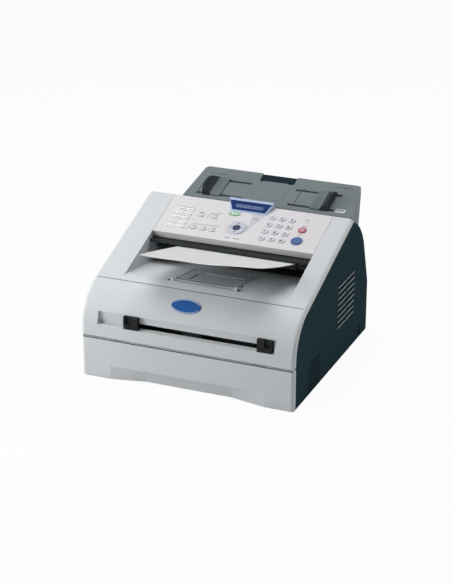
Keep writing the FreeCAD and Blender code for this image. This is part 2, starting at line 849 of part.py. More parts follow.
def make_cassette():
    """The cassette: a deep tray, a pale front with a finger grip, and a hinged pressure plate."""
    outer = box(
        "tray_outer",
        (f"2 * {TRAY_HALF_TEXT}", f"{TRAY_REAR_TEXT} - {TRAY_FRONT_TEXT}", "tray_height"),
        (f"-{TRAY_HALF_TEXT}", TRAY_FRONT_TEXT, TRAY_BOTTOM_TEXT),
    )
    inner = box(
        "tray_inner",
        (
            f"2 * ({TRAY_HALF_TEXT} - tray_wall)",
            f"{TRAY_REAR_TEXT} - {TRAY_FRONT_TEXT} - 2 * tray_wall",
            "tray_height",
        ),
        (
            f"tray_wall - {TRAY_HALF_TEXT}",
            f"{TRAY_FRONT_TEXT} + tray_wall",
            f"{TRAY_BOTTOM_TEXT} + tray_wall",
        ),
    )
    hinge_height = f"{TRAY_BOTTOM_TEXT} + tray_wall + plate_ear_radius"
    ears = []
    for side, start in (
        ("left", "-plate_half_width - plate_ear_radius - play"),
        ("right", "plate_half_width + play"),
    ):
        ears.append(
            rod(
                f"plate_ear_{side}", "plate_ear_radius", "plate_ear_radius",
                (start, PLATE_HINGE_TEXT, hinge_height),
            )
        )
        ears.append(
            box(
                f"plate_stand_{side}",
                ("plate_ear_radius", "2 * plate_ear_radius", "plate_ear_radius + tray_wall"),
                (start, f"{PLATE_HINGE_TEXT} - plate_ear_radius", TRAY_BOTTOM_TEXT),
            )
        )
    hole = rod(
        "plate_hole",
        "plate_pin_radius + shaft_play",
        f"2 * {TRAY_HALF_TEXT} - 2 * tray_wall",
        (f"tray_wall - {TRAY_HALF_TEXT}", PLATE_HINGE_TEXT, hinge_height),
    )
    shell = cut("tray_shell", outer, [inner])
    keep(cut("tray", fused("tray_with_ears", [shell, *ears]), [hole]), "cassette_tray")

    plate = box(
        "plate_sheet",
        ("2 * plate_half_width", "plate_length", "plate_thickness"),
        (
            "-plate_half_width",
            f"{TRAY_FRONT_TEXT} + tray_wall + plate_front_gap",
            f"{hinge_height} - plate_thickness / 2",
        ),
    )
    barrel = rod(
        "plate_barrel",
        "plate_pin_radius",
        "2 * (plate_half_width + plate_ear_radius)",
        ("-plate_half_width - plate_ear_radius", PLATE_HINGE_TEXT, hinge_height),
    )
    keep(fused("plate", [plate, barrel]), "pressure_plate")

    wall = dim.cover_wall
    height = dim.cassette_height - dim.cassette_clear
    reach = dim.edge_inset - dim.play
    front = Part.makeBox(dim.body_width, reach, height, Vector(-HALF, FRONT, dim.cassette_clear))
    corners = [
        edge
        for edge in front.Edges
        if edge.BoundBox.ZLength > height / 2 and abs(edge.BoundBox.YMax - FRONT) < 1e-6
    ]
    front = front.makeFillet(dim.edge_round, corners)
    side = HALF - dim.edge_inset + wall
    hollow = Part.makeBox(
        2 * side, reach, height - 2 * wall, Vector(-side, FRONT + wall, dim.cassette_clear + wall)
    )

    def grip(margin, low):
        rings = []
        for half, top, back in (
            (dim.grip_outer + margin, dim.grip_outer_top + margin, margin),
            (dim.grip_inner + margin, dim.grip_inner_top + margin, dim.grip_depth + margin),
        ):
            corners = ((-half, low), (half, low), (half, top), (-half, top), (-half, low))
            rings.append(Part.makePolygon([Vector(x, FRONT + back, z) for x, z in corners]))
        return Part.makeLoft(rings, True, True)

    shell = grip(wall, dim.cassette_clear)
    scoop = grip(0, -wall)
    front = front.cut(hollow).fuse(shell).cut(scoop)
    keep(feature("cassette_front", front.removeSplitter()), "cassette_front")


RECESS_START = top_point(dim.recess_start)
LASER_TOP = dim.laser_deck_height + dim.frame_wall + dim.laser_height
RECESS_RUN = PANEL_FRONT + dim.recess_under - RECESS_START[0]
FALL = math.atan2(RECESS_START[1] - LASER_TOP - dim.laser_gap - dim.cover_wall, RECESS_RUN)


def floor_point(back, above=0.0):
    """A point of the output recess's floor, back from where it leaves the top, and above it."""
    y = RECESS_START[0] + back * math.cos(FALL) + above * math.sin(FALL)
    return (y, RECESS_START[1] - back * math.sin(FALL) + above * math.cos(FALL))


FLOOR_LENGTH = RECESS_RUN / math.cos(FALL)
FLAP_END = (EXIT_BACK - dim.exit_radius - dim.flap_exit_gap - RECESS_START[0]) / math.cos(FALL)
FLAP_HINGE = floor_point(dim.flap_setback, dim.flap_pin_radius + dim.shaft_play + dim.play)
RECESS_LEFT = dim.recess_centre - dim.recess_half
RECESS_RIGHT = dim.recess_centre + dim.recess_half
PANEL_AXIS = top_point(TOP_LENGTH - dim.panel_pin_inset, dim.panel_pin_drop)
ROLLER_AXIS = top_point(
    PANEL_START + dim.feed_roller_along, dim.guide_drop + dim.feed_roller_radius - dim.feed_roller_proud
)


def make_top_cover():
    """The pale top: two cheeks, the sunken output recess, and bearings for what turns between them."""
    wall = dim.cover_wall
    start = dim.seam_gap
    blend = dim.recess_blend * math.tan((SLOPE + FALL) / 2)
    bend_in = top_point(dim.recess_start - blend)
    bend_out = floor_point(blend)
    half_turn = math.pi / 2 + (SLOPE - FALL) / 2
    centre = top_point(dim.recess_start - blend, dim.recess_blend)

    def on_bend(radius, angle):
        return (centre[0] + radius * math.cos(angle), centre[1] + radius * math.sin(angle))

    inner = dim.recess_blend - wall
    floor = side_face(
        [
            line(top_point(start), bend_in),
            arc(bend_in, on_bend(dim.recess_blend, half_turn), bend_out),
            line(bend_out, floor_point(FLOOR_LENGTH)),
            line(floor_point(FLOOR_LENGTH), floor_point(FLOOR_LENGTH, -wall)),
            line(floor_point(FLOOR_LENGTH, -wall), on_bend(inner, math.pi / 2 - FALL)),
            arc(
                on_bend(inner, math.pi / 2 - FALL),
                on_bend(inner, half_turn),
                on_bend(inner, math.pi / 2 + SLOPE),
            ),
            line(on_bend(inner, math.pi / 2 + SLOPE), top_point(start, wall)),
            line(top_point(start, wall), top_point(start)),
        ]
    )
    edge = dim.recess_half + wall
    middle = across(floor, RECESS_LEFT - wall, RECESS_RIGHT + wall)
    rim = dim.edge_inset - dim.play
    room = dim.guide_drop + 2 * dim.feed_roller_radius + dim.guide_plate
    end = floor_point(FLOOR_LENGTH, -wall)

    def side(near):
        """One cheek with its recess wall, on the right, from the wall's face outwards."""
        cheek = across(
            side_polygon(
                top_point(start), top_point(TOP_LENGTH), top_point(TOP_LENGTH, rim), top_point(start, rim)
            ),
            near,
            HALF,
        )
        edges = outer_edges(cheek, HALF)
        sloping = [e for e in edges if abs(e.valueAt(0).z - e.valueAt(e.Length).z) > wall * 4]
        cheek = cheek.makeFillet(dim.edge_round, [max(sloping, key=lambda e: e.CenterOfMass.z)])
        hollow = across(
            side_polygon(
                top_point(start + wall, wall),
                top_point(TOP_LENGTH - wall, wall),
                top_point(TOP_LENGTH - wall, rim * 2),
                top_point(start + wall, rim * 2),
            ),
            near + wall,
            HALF - dim.edge_inset + wall,
        )
        recess_wall = across(
            side_polygon(
                top_point(dim.recess_start - blend, wall),
                top_point(dim.recess_start),
                top_point(TOP_LENGTH),
                top_point(TOP_LENGTH, room),
                (end[0], end[1]),
                floor_point(blend, -wall),
            ),
            near,
            near + wall,
        )
        return cheek.cut(hollow).fuse(recess_wall)

    left = side(-RECESS_LEFT).mirror(Vector(), Vector(1, 0, 0))
    shell = middle.fuse([side(RECESS_RIGHT), left])

    ear_radius = dim.flap_pin_radius * 2
    for sign in (-1, 1):
        near = dim.flap_half + 2 * dim.play
        first = near if sign > 0 else -near - dim.flap_ear_width
        ear = Part.makeCylinder(
            ear_radius, dim.flap_ear_width, Vector(first, *FLAP_HINGE), Vector(1, 0, 0)
        ).fuse(
            across(
                side_polygon(
                    (FLAP_HINGE[0] - ear_radius, FLAP_HINGE[1]),
                    (FLAP_HINGE[0] + ear_radius, FLAP_HINGE[1]),
                    floor_point(dim.flap_setback + ear_radius, -wall / 2),
                    floor_point(dim.flap_setback - ear_radius, -wall / 2),
                ),
                first,
                first + dim.flap_ear_width,
            )
        )
        shell = shell.fuse(ear)

    def bearing(radius, place):
        return Part.makeCylinder(radius, dim.body_width, Vector(-HALF, *place), Vector(1, 0, 0))

    inner_span = Part.makeBox(
        2 * edge, dim.body_depth, dim.body_width, Vector(RECESS_LEFT - wall, FRONT, 0)
    )
    flap_hole = bearing(dim.flap_pin_radius + dim.shaft_play, FLAP_HINGE)
    flap_span = Part.makeBox(
        2 * (dim.flap_half + 2 * dim.play + dim.flap_ear_width), dim.body_depth, dim.body_width,
        Vector(-dim.flap_half - 2 * dim.play - dim.flap_ear_width, FRONT, 0),
    )
    holes = [
        bearing(dim.panel_pin_radius + dim.shaft_play, PANEL_AXIS).common(inner_span),
        bearing(dim.shaft_radius + dim.shaft_play, ROLLER_AXIS).common(inner_span),
        bearing(dim.shaft_radius + 2 * dim.play, (EXIT_BACK, EXIT_UP)).common(inner_span),
        flap_hole.common(flap_span),
    ]
    shell = shell.cut(Part.makeCompound(holes))
    keep(feature("top_cover", shell.removeSplitter()), "top_cover")


def make_output_flap():
    """The flap on the recess floor, with two pins at its front edge."""
    radius = dim.flap_pin_radius
    low = dim.play
    plate = across(
        side_polygon(
            floor_point(dim.flap_setback, low),
            floor_point(FLAP_END, low),
            floor_point(FLAP_END, low + dim.flap_thickness),
            floor_point(dim.flap_setback, low + dim.flap_thickness),
        ),
        -dim.flap_half,
        dim.flap_half,
    )
    reach = dim.flap_half + dim.flap_ear_width
    pin = Part.makeCylinder(radius, 2 * reach, Vector(-reach, *FLAP_HINGE), Vector(1, 0, 0))
    keep(feature("output_flap", plate.fuse(pin).removeSplitter()), "output_flap")


def make_scanner_frame():
    """The lower document guide: a shelf in front, then a plate that runs under the panel."""
    shelf = (SHELF_FRONT, top_point(PANEL_START, dim.guide_drop)[1])
    bend = top_point(PANEL_START, dim.guide_drop)
    rear = TOP_LENGTH + dim.guide_overrun
    under = dim.guide_drop + dim.guide_plate
    plate = across(
        side_polygon(
            shelf,
            bend,
            top_point(rear, dim.guide_drop),
            top_point(rear, under),
            top_point(PANEL_START, under),
            (SHELF_FRONT, shelf[1] - dim.shelf_thickness),
        ),
        RECESS_LEFT,
        RECESS_RIGHT,
    )
    room = dim.feed_roller_radius + dim.play
    window = Part.makeCylinder(
        room, dim.feed_roller_length + 2 * room,
        Vector(dim.recess_centre - dim.feed_roller_length / 2 - room, *ROLLER_AXIS), Vector(1, 0, 0),
    )
    keep(feature("scanner_frame", plate.cut(window)), "scanner_frame")
    bar = box("scanner_bar", ("bar_length", "bar_width", "bar_height"), ("0", "0", "0"))
    on_panel(bar, "recess_centre - bar_length / 2", "bar_along", "-guide_drop - guide_plate - bar_height")
    keep(bar, "scanner_bar")
    y, z = slope_texts(
        f"{PANEL_START_TEXT} + feed_roller_along", "-guide_drop - feed_roller_radius + feed_roller_proud"
    )
    sleeve = rod(
        "roller_sleeve", "feed_roller_radius", "feed_roller_length",
        ("recess_centre - feed_roller_length / 2", y, z),
    )
    reach = "(recess_half + cover_wall)"
    shaft = rod("roller_shaft", "shaft_radius", f"2 * {reach}", (f"recess_centre - {reach}", y, z))
    keep(fused("roller", [sleeve, shaft]), "document_roller")


KEYS = []


def add_key(label, width, length, across_text, along_text, round_shape=False):
    """Lists one key by its outline and its place on the panel."""
    KEYS.append(
        SimpleNamespace(
            label=label, width=width, length=length, across=across_text, along=along_text, round=round_shape
        )
    )


def list_keys():
    """Every key that moves alone."""
    names = ("1", "2", "3", "4", "5", "6", "7", "8", "9", "star", "0", "hash")
    for index, name in enumerate(names):
        add_key(
            f"key_{name}",
            "number_width",
            "number_length",
            f"(number_column + {index % 3} * number_pitch_across)",
            f"(number_row + {3 - index // 3} * number_pitch_along)",
        )
    places = [
        (f"(function_column + {step} * function_upper_pitch)", "function_upper_row") for step in range(2)
    ]
    places += [(f"(function_column + {step} * function_pitch)", "function_lower_row") for step in range(3)]
    for index, (u, v) in enumerate(places, start=1):
        add_key(f"function_key_{index}", "function_width", "function_length", u, v)
    add_key("mode_key", "mode_width", "mode_length", "mode_across", "mode_along")
    add_key("navigation_ring", "2 * ring_radius", "2 * ring_radius", "ring_across", "ring_along", True)
    add_key("stop_key", "2 * stop_radius", "2 * stop_radius", "action_across", "stop_along", True)
    add_key("start_key", "2 * start_radius", "2 * start_radius", "action_across", "start_along", True)


def oval_tool(name, key, margin, depth, above):
    """A bound upright oval or round prism on the panel, before the panel is tilted."""
    if key.round:
        obj = doc.addObject("Part::Cylinder", name)
        bind(obj, Radius=f"({key.width}) / 2 + {margin}", Height=depth)
        return at(obj, (key.across, key.along, above))
    oval = doc.addObject("Part::Ellipse", f"{name}_outline")
    bind(oval, MajorRadius=f"({key.width}) / 2 + {margin}", MinorRadius=f"({key.length}) / 2 + {margin}")
    at(oval, (key.across, key.along, above))
    prism = doc.addObject("Part::Extrusion", name)
    prism.Base = oval
    prism.DirMode = "Custom"
    prism.Dir = Vector(0, 0, 1)
    prism.Solid = True
    bind(prism, LengthFwd=depth)
    return prism


def origin_plane(body, role):
    """One of a body's own origin planes."""
    return next(plane for plane in body.Origin.OriginFeatures if plane.Role == role)


def make_key(key):
    """One key cap: a padded outline with a rounded top."""
    body = doc.addObject("PartDesign::Body", key.label)
    sketch = body.newObject("Sketcher::SketchObject", f"{key.label}_sketch")
    sketch.AttachmentSupport = [(origin_plane(body, "XY_Plane"), "")]
    sketch.MapMode = "FlatFace"
    if key.round:
        sketch.addGeometry(Part.Circle(Vector(), Vector(0, 0, 1), 5))
        sketch.addConstraint(Sketcher.Constraint("Coincident", 0, 3, -1, 1))
        radius = sketch.addConstraint(Sketcher.Constraint("Radius", 0, 5))
        bind(sketch, **{f"Constraints[{radius}]": f"({key.width}) / 2"})
    else:
        sketch.addGeometry(Part.Ellipse(Vector(), 6, 4))
        sketch.exposeInternalGeometry(0)
        sketch.addConstraint(Sketcher.Constraint("Coincident", 0, 3, -1, 1))
        sketch.addConstraint(Sketcher.Constraint("Horizontal", 1))
        for geometry, start, text in ((1, 12, key.width), (2, 8, key.length)):
            length = sketch.addConstraint(Sketcher.Constraint("Distance", geometry, start))
            bind(sketch, **{f"Constraints[{length}]": text})
    pad = body.newObject("PartDesign::Pad", f"{key.label}_pad")
    pad.Profile = sketch
    bind(pad, Length="key_depth + key_rise")
    doc.recompute()
    top = max(range(len(pad.Shape.Edges)), key=lambda i: pad.Shape.Edges[i].BoundBox.ZMin)
    rounding = body.newObject("PartDesign::Fillet", f"{key.label}_round")
    rounding.Base = (pad, [f"Edge{top + 1}"])
    bind(rounding, Radius="key_round")
    return body


def make_keys():
    """All keys that stand on the panel."""
    for key in KEYS:
        cap = make_key(key)
        if key.label == "navigation_ring":
            bore = rod(
                "ring_bore_tool", "ring_bore", "2 * (key_depth + key_rise)", ("0", "0", "-key_depth"), "Z"
            )
            cap.Label = "ring_body"
            cap = cut("ring_cap", cap, [bore])
        on_panel(cap, key.across, key.along, "-key_depth")
        keep(cap, key.label)
    ok = rod("ok_cap", "ok_radius", "key_depth + 1.3 * key_rise", ("0", "0", "0"), "Z")
    on_panel(ok, "ring_across", "ring_along", "-key_depth")
    keep(ok, "ok_key")
    touch = []
    for column in range(2):
        for row in range(5):
            cap = box(
                f"touch_{column}_{row}",
                ("touch_width", "touch_length", "key_depth + key_rise"),
                (
                    f"touch_column + {column} * touch_pitch_across - touch_width / 2",
                    f"touch_row + {row} * touch_pitch_along - touch_length / 2",
                    "0",
                ),
            )
            touch.append(cap)
    keys = group("touch_group", touch)
    on_panel(keys, "0", "0", "-key_depth")
    keep(keys, "one_touch_keys")


def make_panel():
    """The sloping control panel: a shallow lid with a hole for every key and two hinge pins."""
    lid = box(
        "panel_lid",
        ("2 * panel_half", "panel_length", "panel_depth"),
        ("recess_centre - panel_half", "0", "-panel_depth"),
    )
    hollow = box(
        "panel_hollow",
        ("2 * (panel_half - panel_skin)", "panel_length - 2 * panel_skin", "panel_depth"),
        ("recess_centre + panel_skin - panel_half", "panel_skin", "-panel_depth - panel_skin"),
    )
    shell = cut("panel_shell", lid, [hollow])
    apron = box(
        "panel_apron_strip",
        ("2 * panel_half", "2 * panel_skin", "panel_skin + panel_apron"),
        ("recess_centre - panel_half", "0", "-panel_depth - panel_apron"),
    )
    pin_reach = "(panel_half + cover_wall)"
    pins = [
        rod(
            f"panel_pin_{side}",
            "panel_pin_radius",
            "panel_skin + cover_wall",
            (start, "panel_length - panel_pin_inset", "-panel_pin_drop"),
        )
        for side, start in (
            ("left", f"recess_centre - {pin_reach}"),
            ("right", "recess_centre + panel_half - panel_skin"),
        )
    ]
    body = fused("panel_body", [shell, apron, *pins])
    tools = [
        oval_tool(f"{key.label}_hole", key, "play", "3 * panel_skin", "-2 * panel_skin") for key in KEYS
    ]
    for column in range(2):
        for row in range(5):
            tools.append(
                box(
                    f"touch_hole_{column}_{row}",
                    ("touch_width + 2 * play", "touch_length + 2 * play", "3 * panel_skin"),
                    (
                        f"touch_column + {column} * touch_pitch_across - touch_width / 2 - play",
                        f"touch_row + {row} * touch_pitch_along - touch_length / 2 - play",
                        "-2 * panel_skin",
                    ),
                )
            )
    panel = cut("panel", body, tools)
    on_panel(panel, "0", "0", "0")
    keep(panel, "control_panel")


def make_display():
    """The raised display hood and the window set into its tilted face."""
    tilt = math.radians(dim.hood_tilt)
    depth = dim.panel_length - dim.hood_start
    rise = dim.hood_lip + depth * math.tan(tilt)

    def trapezoid(border):
        front = dim.hood_front_half - border
        rear = dim.hood_rear_half - border
        return ((-front, border), (front, border), (rear, depth - border), (-rear, depth - border))

    block = plan_prism(trapezoid(0), 0, rise)
    above = Part.makeBox(
        4 * dim.hood_rear_half, 3 * depth, 2 * rise, Vector(-2 * dim.hood_rear_half, -depth, 0)
    )
    face = Placement(Vector(0, 0, dim.hood_lip), Rotation(Vector(1, 0, 0), dim.hood_tilt))
    above.Placement = face.multiply(above.Placement)
    block = block.cut(above)
    window = plan_prism(trapezoid(dim.window_border), -dim.window_thickness, 0)
    window.Placement = face.multiply(window.Placement)
    hood = feature("hood", block.cut(window))
    glass = feature("window", window)
    base = Placement(
        Vector(dim.hood_centre, *top_point(PANEL_START + dim.hood_start)),
        Rotation(Vector(1, 0, 0), dim.slope),
    )
    hood.Placement = base.multiply(hood.Placement)
    glass.Placement = base.multiply(glass.Placement)
    keep(hood, "display_bezel")
    keep(glass, "display_window")


TILT = math.radians(dim.hopper_tilt)
HOPPER_REAR = dim.body_depth / 2
HOPPER_TOP = (HOPPER_REAR, dim.hopper_height)
HOPPER_FRONT = top_point(TOP_LENGTH)[0] + dim.hopper_gap
HOPPER_LENGTH = (HOPPER_TOP[0] - HOPPER_FRONT) / math.cos(TILT)


def hopper_point(back, above=0.0):
    """A point of the document tray's face, back from its front edge, and above it."""
    front = HOPPER_TOP[1] - HOPPER_LENGTH * math.sin(TILT)
    y = HOPPER_FRONT + back * math.cos(TILT) - above * math.sin(TILT)
    return (y, front + back * math.sin(TILT) + above * math.cos(TILT))


def on_hopper(shape, across_place, back, above):
    """Lays a flat-made shape on the document tray's face."""
    lean = Rotation(Vector(1, 0, 0), dim.hopper_tilt)
    base = Placement(Vector(across_place, *hopper_point(back, above)), lean)
    shape.Placement = base.multiply(shape.Placement)
    return shape


# outline of a document guide's fin: share of its length, share of its height
FIN_HUMP = ((0, 0), (0.04, 0.42), (0.15, 0.82), (0.35, 1), (0.6, 0.92), (0.85, 0.55), (1, 0))
# outline of the slope inside a fin: share of the foot's width, share of the fin's height
FIN_SLOPE = ((0, 0.85), (0.24, 0.36), (0.8, 0.1))


def make_document_tray():
    """The dark document tray: a tilted plate on a tapered hood that stands on the rear cover."""
    wall = dim.hopper_wall

    def hood(inset, low):
        profile = side_polygon(
            hopper_point(0, -inset),
            hopper_point(HOPPER_LENGTH - inset, -inset),
            (HOPPER_TOP[0] - dim.hopper_lip_inset - inset, HOPPER_TOP[1] - dim.hopper_lip_depth),
            (HOPPER_TOP[0] - dim.hopper_foot_inset - inset, low),
            (HOPPER_FRONT + wall, low),
            (HOPPER_FRONT, hopper_point(0)[1] - 3 * wall),
        )
        left, right = dim.hopper_left_inset - HALF + inset, HALF - dim.hopper_right_inset - inset
        front, rear = HOPPER_FRONT - wall, HOPPER_REAR - inset
        plan = plan_prism(
            (
                (left, front),
                (right, front),
                (right - dim.hopper_right_taper, rear),
                (left + dim.hopper_left_taper, rear),
            ),
            0,
            2 * dim.hopper_height,
        )
        corners = [e for e in plan.Edges if e.BoundBox.YMin > rear - wall / 2 and e.BoundBox.ZLength > wall]
        plan = plan.makeFillet(dim.hopper_round - inset, corners)
        return across(profile, -HALF, HALF).common(plan)

    low = LEAN_TOP[1] + 3 * wall
    shell = hood(0, low).cut(hood(wall, low - wall))
    covered = across(Part.Face(side_outline()).makeOffset2D(dim.play), -HALF, HALF)
    shell = shell.cut(covered)
    front_gap = across(
        side_polygon(
            hopper_point(-wall, -wall),
            hopper_point(2 * wall, -wall),
            (HOPPER_FRONT + 2 * wall, LEAN_TOP[1]),
            (HOPPER_FRONT - 2 * wall, LEAN_TOP[1]),
        ),
        RECESS_LEFT,
        RECESS_RIGHT,
    )
    shell = shell.cut(front_gap)

    bed_width = 2 * (dim.extension_half + dim.play)
    bed_depth = dim.extension_thickness + dim.play
    notch = on_hopper(
        Part.makeBox(
            2 * dim.notch_half, 2 * dim.notch_depth, 2 * bed_depth, Vector(-dim.notch_half, 0, -bed_depth)
        ),
        dim.hopper_centre, HOPPER_LENGTH - dim.notch_depth, 0,
    )
    tools = [notch]
    for sign in (-1, 1):
        for back in (dim.track_front, dim.track_rear):
            first = dim.stop_half + dim.fin_foot / 2 - dim.track_length
            start = first if sign > 0 else -first - dim.track_length
            track = Part.makeBox(dim.track_length, dim.track_width, 4 * wall, Vector(start, 0, -2 * wall))
            tools.append(on_hopper(track, dim.hopper_centre, back - dim.track_width / 2, 0))
    bed = Part.makeBox(
        bed_width, dim.extension_length + dim.notch_depth, 2 * bed_depth,
        Vector(-bed_width / 2, 0, -bed_depth),
    )
    extension_place = HOPPER_LENGTH - dim.notch_depth - dim.extension_length
    tools.append(on_hopper(bed, dim.hopper_centre, extension_place - dim.play, 0))
    shell = shell.cut(tools)
    keep(feature("document_tray", max(shell.Solids, key=lambda s: s.Volume)), "document_tray")

    for sign, side in ((-1, "left"), (1, "right")):
        foot_start = -dim.fin_foot if sign > 0 else -dim.fin_thickness
        fin_start = 0 if sign > 0 else -dim.fin_thickness
        length = dim.track_rear - dim.track_front + 2 * dim.track_width
        foot = Part.makeBox(
            dim.fin_foot + dim.fin_thickness, length, dim.fin_thickness / 2, Vector(foot_start, 0, dim.play)
        )
        ends = Vector(0, 0, dim.play), Vector(0, length, dim.play)
        hump = Part.BSplineCurve()
        hump.interpolate(
            [Vector(0, length * back, dim.play + dim.fin_height * up) for back, up in FIN_HUMP]
        )
        fin_face = Part.Face(Part.Wire([Part.LineSegment(*ends).toShape(), hump.toShape()]))
        fin = fin_face.extrude(Vector(dim.fin_thickness, 0, 0))
        fin.translate(Vector(fin_start, 0, 0))
        high, middle, end = (
            Vector(-sign * dim.fin_foot * share, 0, dim.play + dim.fin_height * up) for share, up in FIN_SLOPE
        )
        under = Vector(end.x, 0, dim.play)
        slope_face = Part.Face(
            Part.Wire(
                [
                    Part.LineSegment(ends[0], high).toShape(),
                    Part.Arc(high, middle, end).toShape(),
                    Part.LineSegment(end, under).toShape(),
                    Part.LineSegment(under, ends[0]).toShape(),
                ]
            )
        )
        web = slope_face.extrude(Vector(0, length, 0)).common(
            fin_face.extrude(Vector(-sign * dim.fin_foot, 0, 0))
        )
        guide = foot.fuse([fin, web])
        for back in (dim.track_width, length - dim.track_width):
            peg = Part.makeBox(
                dim.fin_foot / 2,
                dim.track_width - 2 * dim.play,
                2 * wall,
                Vector(
                    -dim.fin_foot / 2 if sign > 0 else 0,
                    back - dim.track_width / 2 + dim.play,
                    dim.play - 2 * wall,
                ),
            )
            guide = guide.fuse(peg)
        guide = on_hopper(
            guide.removeSplitter(),
            dim.hopper_centre + sign * dim.stop_half,
            dim.track_front - dim.track_width,
            0,
        )
        keep(feature(f"guide_fin_{side}", guide.cut(covered)), f"document_guide_{side}")

    plate = Part.makeBox(
        2 * dim.extension_half, dim.extension_length, dim.extension_thickness,
        Vector(-dim.extension_half, 0, -dim.extension_thickness),
    )
    tail = [
        edge for edge in plate.Edges
        if edge.BoundBox.ZLength > 1 and abs(edge.BoundBox.YMax - dim.extension_length) < 1e-6
    ]
    plate = plate.makeFillet(dim.extension_half / 3, tail)
    extension = on_hopper(plate, dim.hopper_centre, extension_place, 0).cut(covered)
    keep(feature("extension", extension), "document_extension")


def make_rear():
    """The rear cover follows the outline between the side plates; a door in it drops open."""
    outer = rear_cover_wire(0)
    inner = rear_cover_wire(dim.rear_wall)
    face = side_face(
        [
            arc(outer[0], outer[1], outer[2]),
            line(outer[2], outer[3]),
            line(outer[3], outer[4]),
            line(outer[4], inner[4]),
            line(inner[4], inner[3]),
            line(inner[3], inner[2]),
            arc(inner[2], inner[1], inner[0]),
            line(inner[0], outer[0]),
        ]
    )
    cover = across(face, -FRAME_FACE, FRAME_FACE)
    run = (outer[2][0] - outer[3][0], outer[2][1] - outer[3][1])
    length = math.hypot(*run)
    lean = math.degrees(math.atan2(-run[0], run[1]))
    margin = dim.door_margin

    def on_lean(shape, up, out):
        up_way = (run[0] / length, run[1] / length)
        place = (
            outer[3][0] + up_way[0] * up + up_way[1] * out,
            outer[3][1] + up_way[1] * up - up_way[0] * out,
        )
        leaning = Placement(Vector(0, *place), Rotation(Vector(1, 0, 0), lean))
        shape.Placement = leaning.multiply(shape.Placement)
        return shape

    wall = dim.rear_wall
    half = dim.door_half
    span = length - 2 * margin
    opening = on_lean(Part.makeBox(2 * half, 6 * wall, span, Vector(-half, -3 * wall, 0)), margin, 0)
    path = Part.makeBox(
        2 * dim.recess_half,
        HOPPER_FRONT - TOP_END[0] + 2 * wall,
        LEAN_TOP[1],
        Vector(RECESS_LEFT, TOP_END[0] - wall, TOP_END[1] - 6 * wall),
    )
    cover = cover.cut(opening).cut(path)
    pin_up = margin + dim.door_pin_radius * 2 + dim.play
    pin_in = -wall / 2 - dim.door_pin_radius
    ring_radius = dim.door_pin_radius * 2

    def lug(x, low):
        ring = Part.makeCylinder(ring_radius, 2 * wall, Vector(x, 0, 0), Vector(1, 0, 0))
        leg = Part.makeBox(2 * wall, -pin_in, ring_radius - low, Vector(x, 0, low))
        return ring.fuse(leg)

    for x in (half + dim.play, -half - dim.play - 2 * wall):
        cover = cover.fuse(on_lean(lug(x, -ring_radius), pin_up, pin_in))
    reach = half + dim.play + 2 * wall
    hole = Part.makeCylinder(
        dim.door_pin_radius + dim.shaft_play, 2 * reach, Vector(-reach, 0, 0), Vector(1, 0, 0)
    )
    cover = cover.cut(on_lean(hole, pin_up, pin_in))
    door_half = half - dim.play
    plate = Part.makeBox(2 * door_half, wall, span - 2 * dim.play, Vector(-door_half, -wall, 0))
    plate = on_lean(plate, margin + dim.play, 0)
    heel_corner = Vector(-reach, -ring_radius, -2 * ring_radius)
    heel = Part.makeBox(2 * reach, 2 * ring_radius, 2 * ring_radius, heel_corner)
    turned = Part.makeCylinder(ring_radius, 2 * reach, Vector(-reach, 0, 0), Vector(1, 0, 0))
    door = plate.cut(on_lean(heel.cut(turned), pin_up, pin_in))
    barrel = Part.makeCylinder(dim.door_pin_radius, 2 * reach, Vector(-reach, 0, 0), Vector(1, 0, 0))
    joined = door.fuse(on_lean(barrel, pin_up, pin_in))
    for x in (-door_half, door_half - 2 * wall):
        joined = joined.fuse(on_lean(lug(x, 0), pin_up, pin_in))
    keep(feature("rear_door", joined.removeSplitter()), "rear_door")

    def socket(x, width, height, depth, pockets):
        shell = Part.makeBox(
            width, depth, height, Vector(x - width / 2, REAR_FACE - depth, dim.socket_up - height / 2)
        )
        holes = [
            Part.makeBox(
                hole_width, depth, hole_height,
                Vector(
                    place - hole_width / 2,
                    REAR_FACE - depth + dim.socket_wall,
                    dim.socket_up - hole_height / 2,
                ),
            )
            for place, hole_width, hole_height in pockets
        ]
        return shell, shell.cut(holes)

    inlet = socket(
        dim.socket_across,
        dim.inlet_width + 2 * dim.socket_wall,
        dim.inlet_height + 2 * dim.socket_wall,
        dim.inlet_depth,
        [(dim.socket_across, dim.inlet_width, dim.inlet_height)],
    )
    jack_middle = dim.jack_pitch / 2 - dim.socket_across
    jacks = socket(
        jack_middle,
        dim.jack_pitch + dim.jack_width + 4 * dim.socket_wall,
        dim.jack_height + 4 * dim.socket_wall,
        dim.jack_depth,
        [(jack_middle + side * dim.jack_pitch / 2, dim.jack_width, dim.jack_height) for side in (-1, 1)],
    )
    cover = cover.cut([inlet[0], jacks[0]])
    sockets = [inlet[1], jacks[1]]
    keep(feature("rear_cover", cover.removeSplitter()), "rear_cover")
    keep(feature("rear_sockets", Part.makeCompound(sockets)), "rear_sockets")


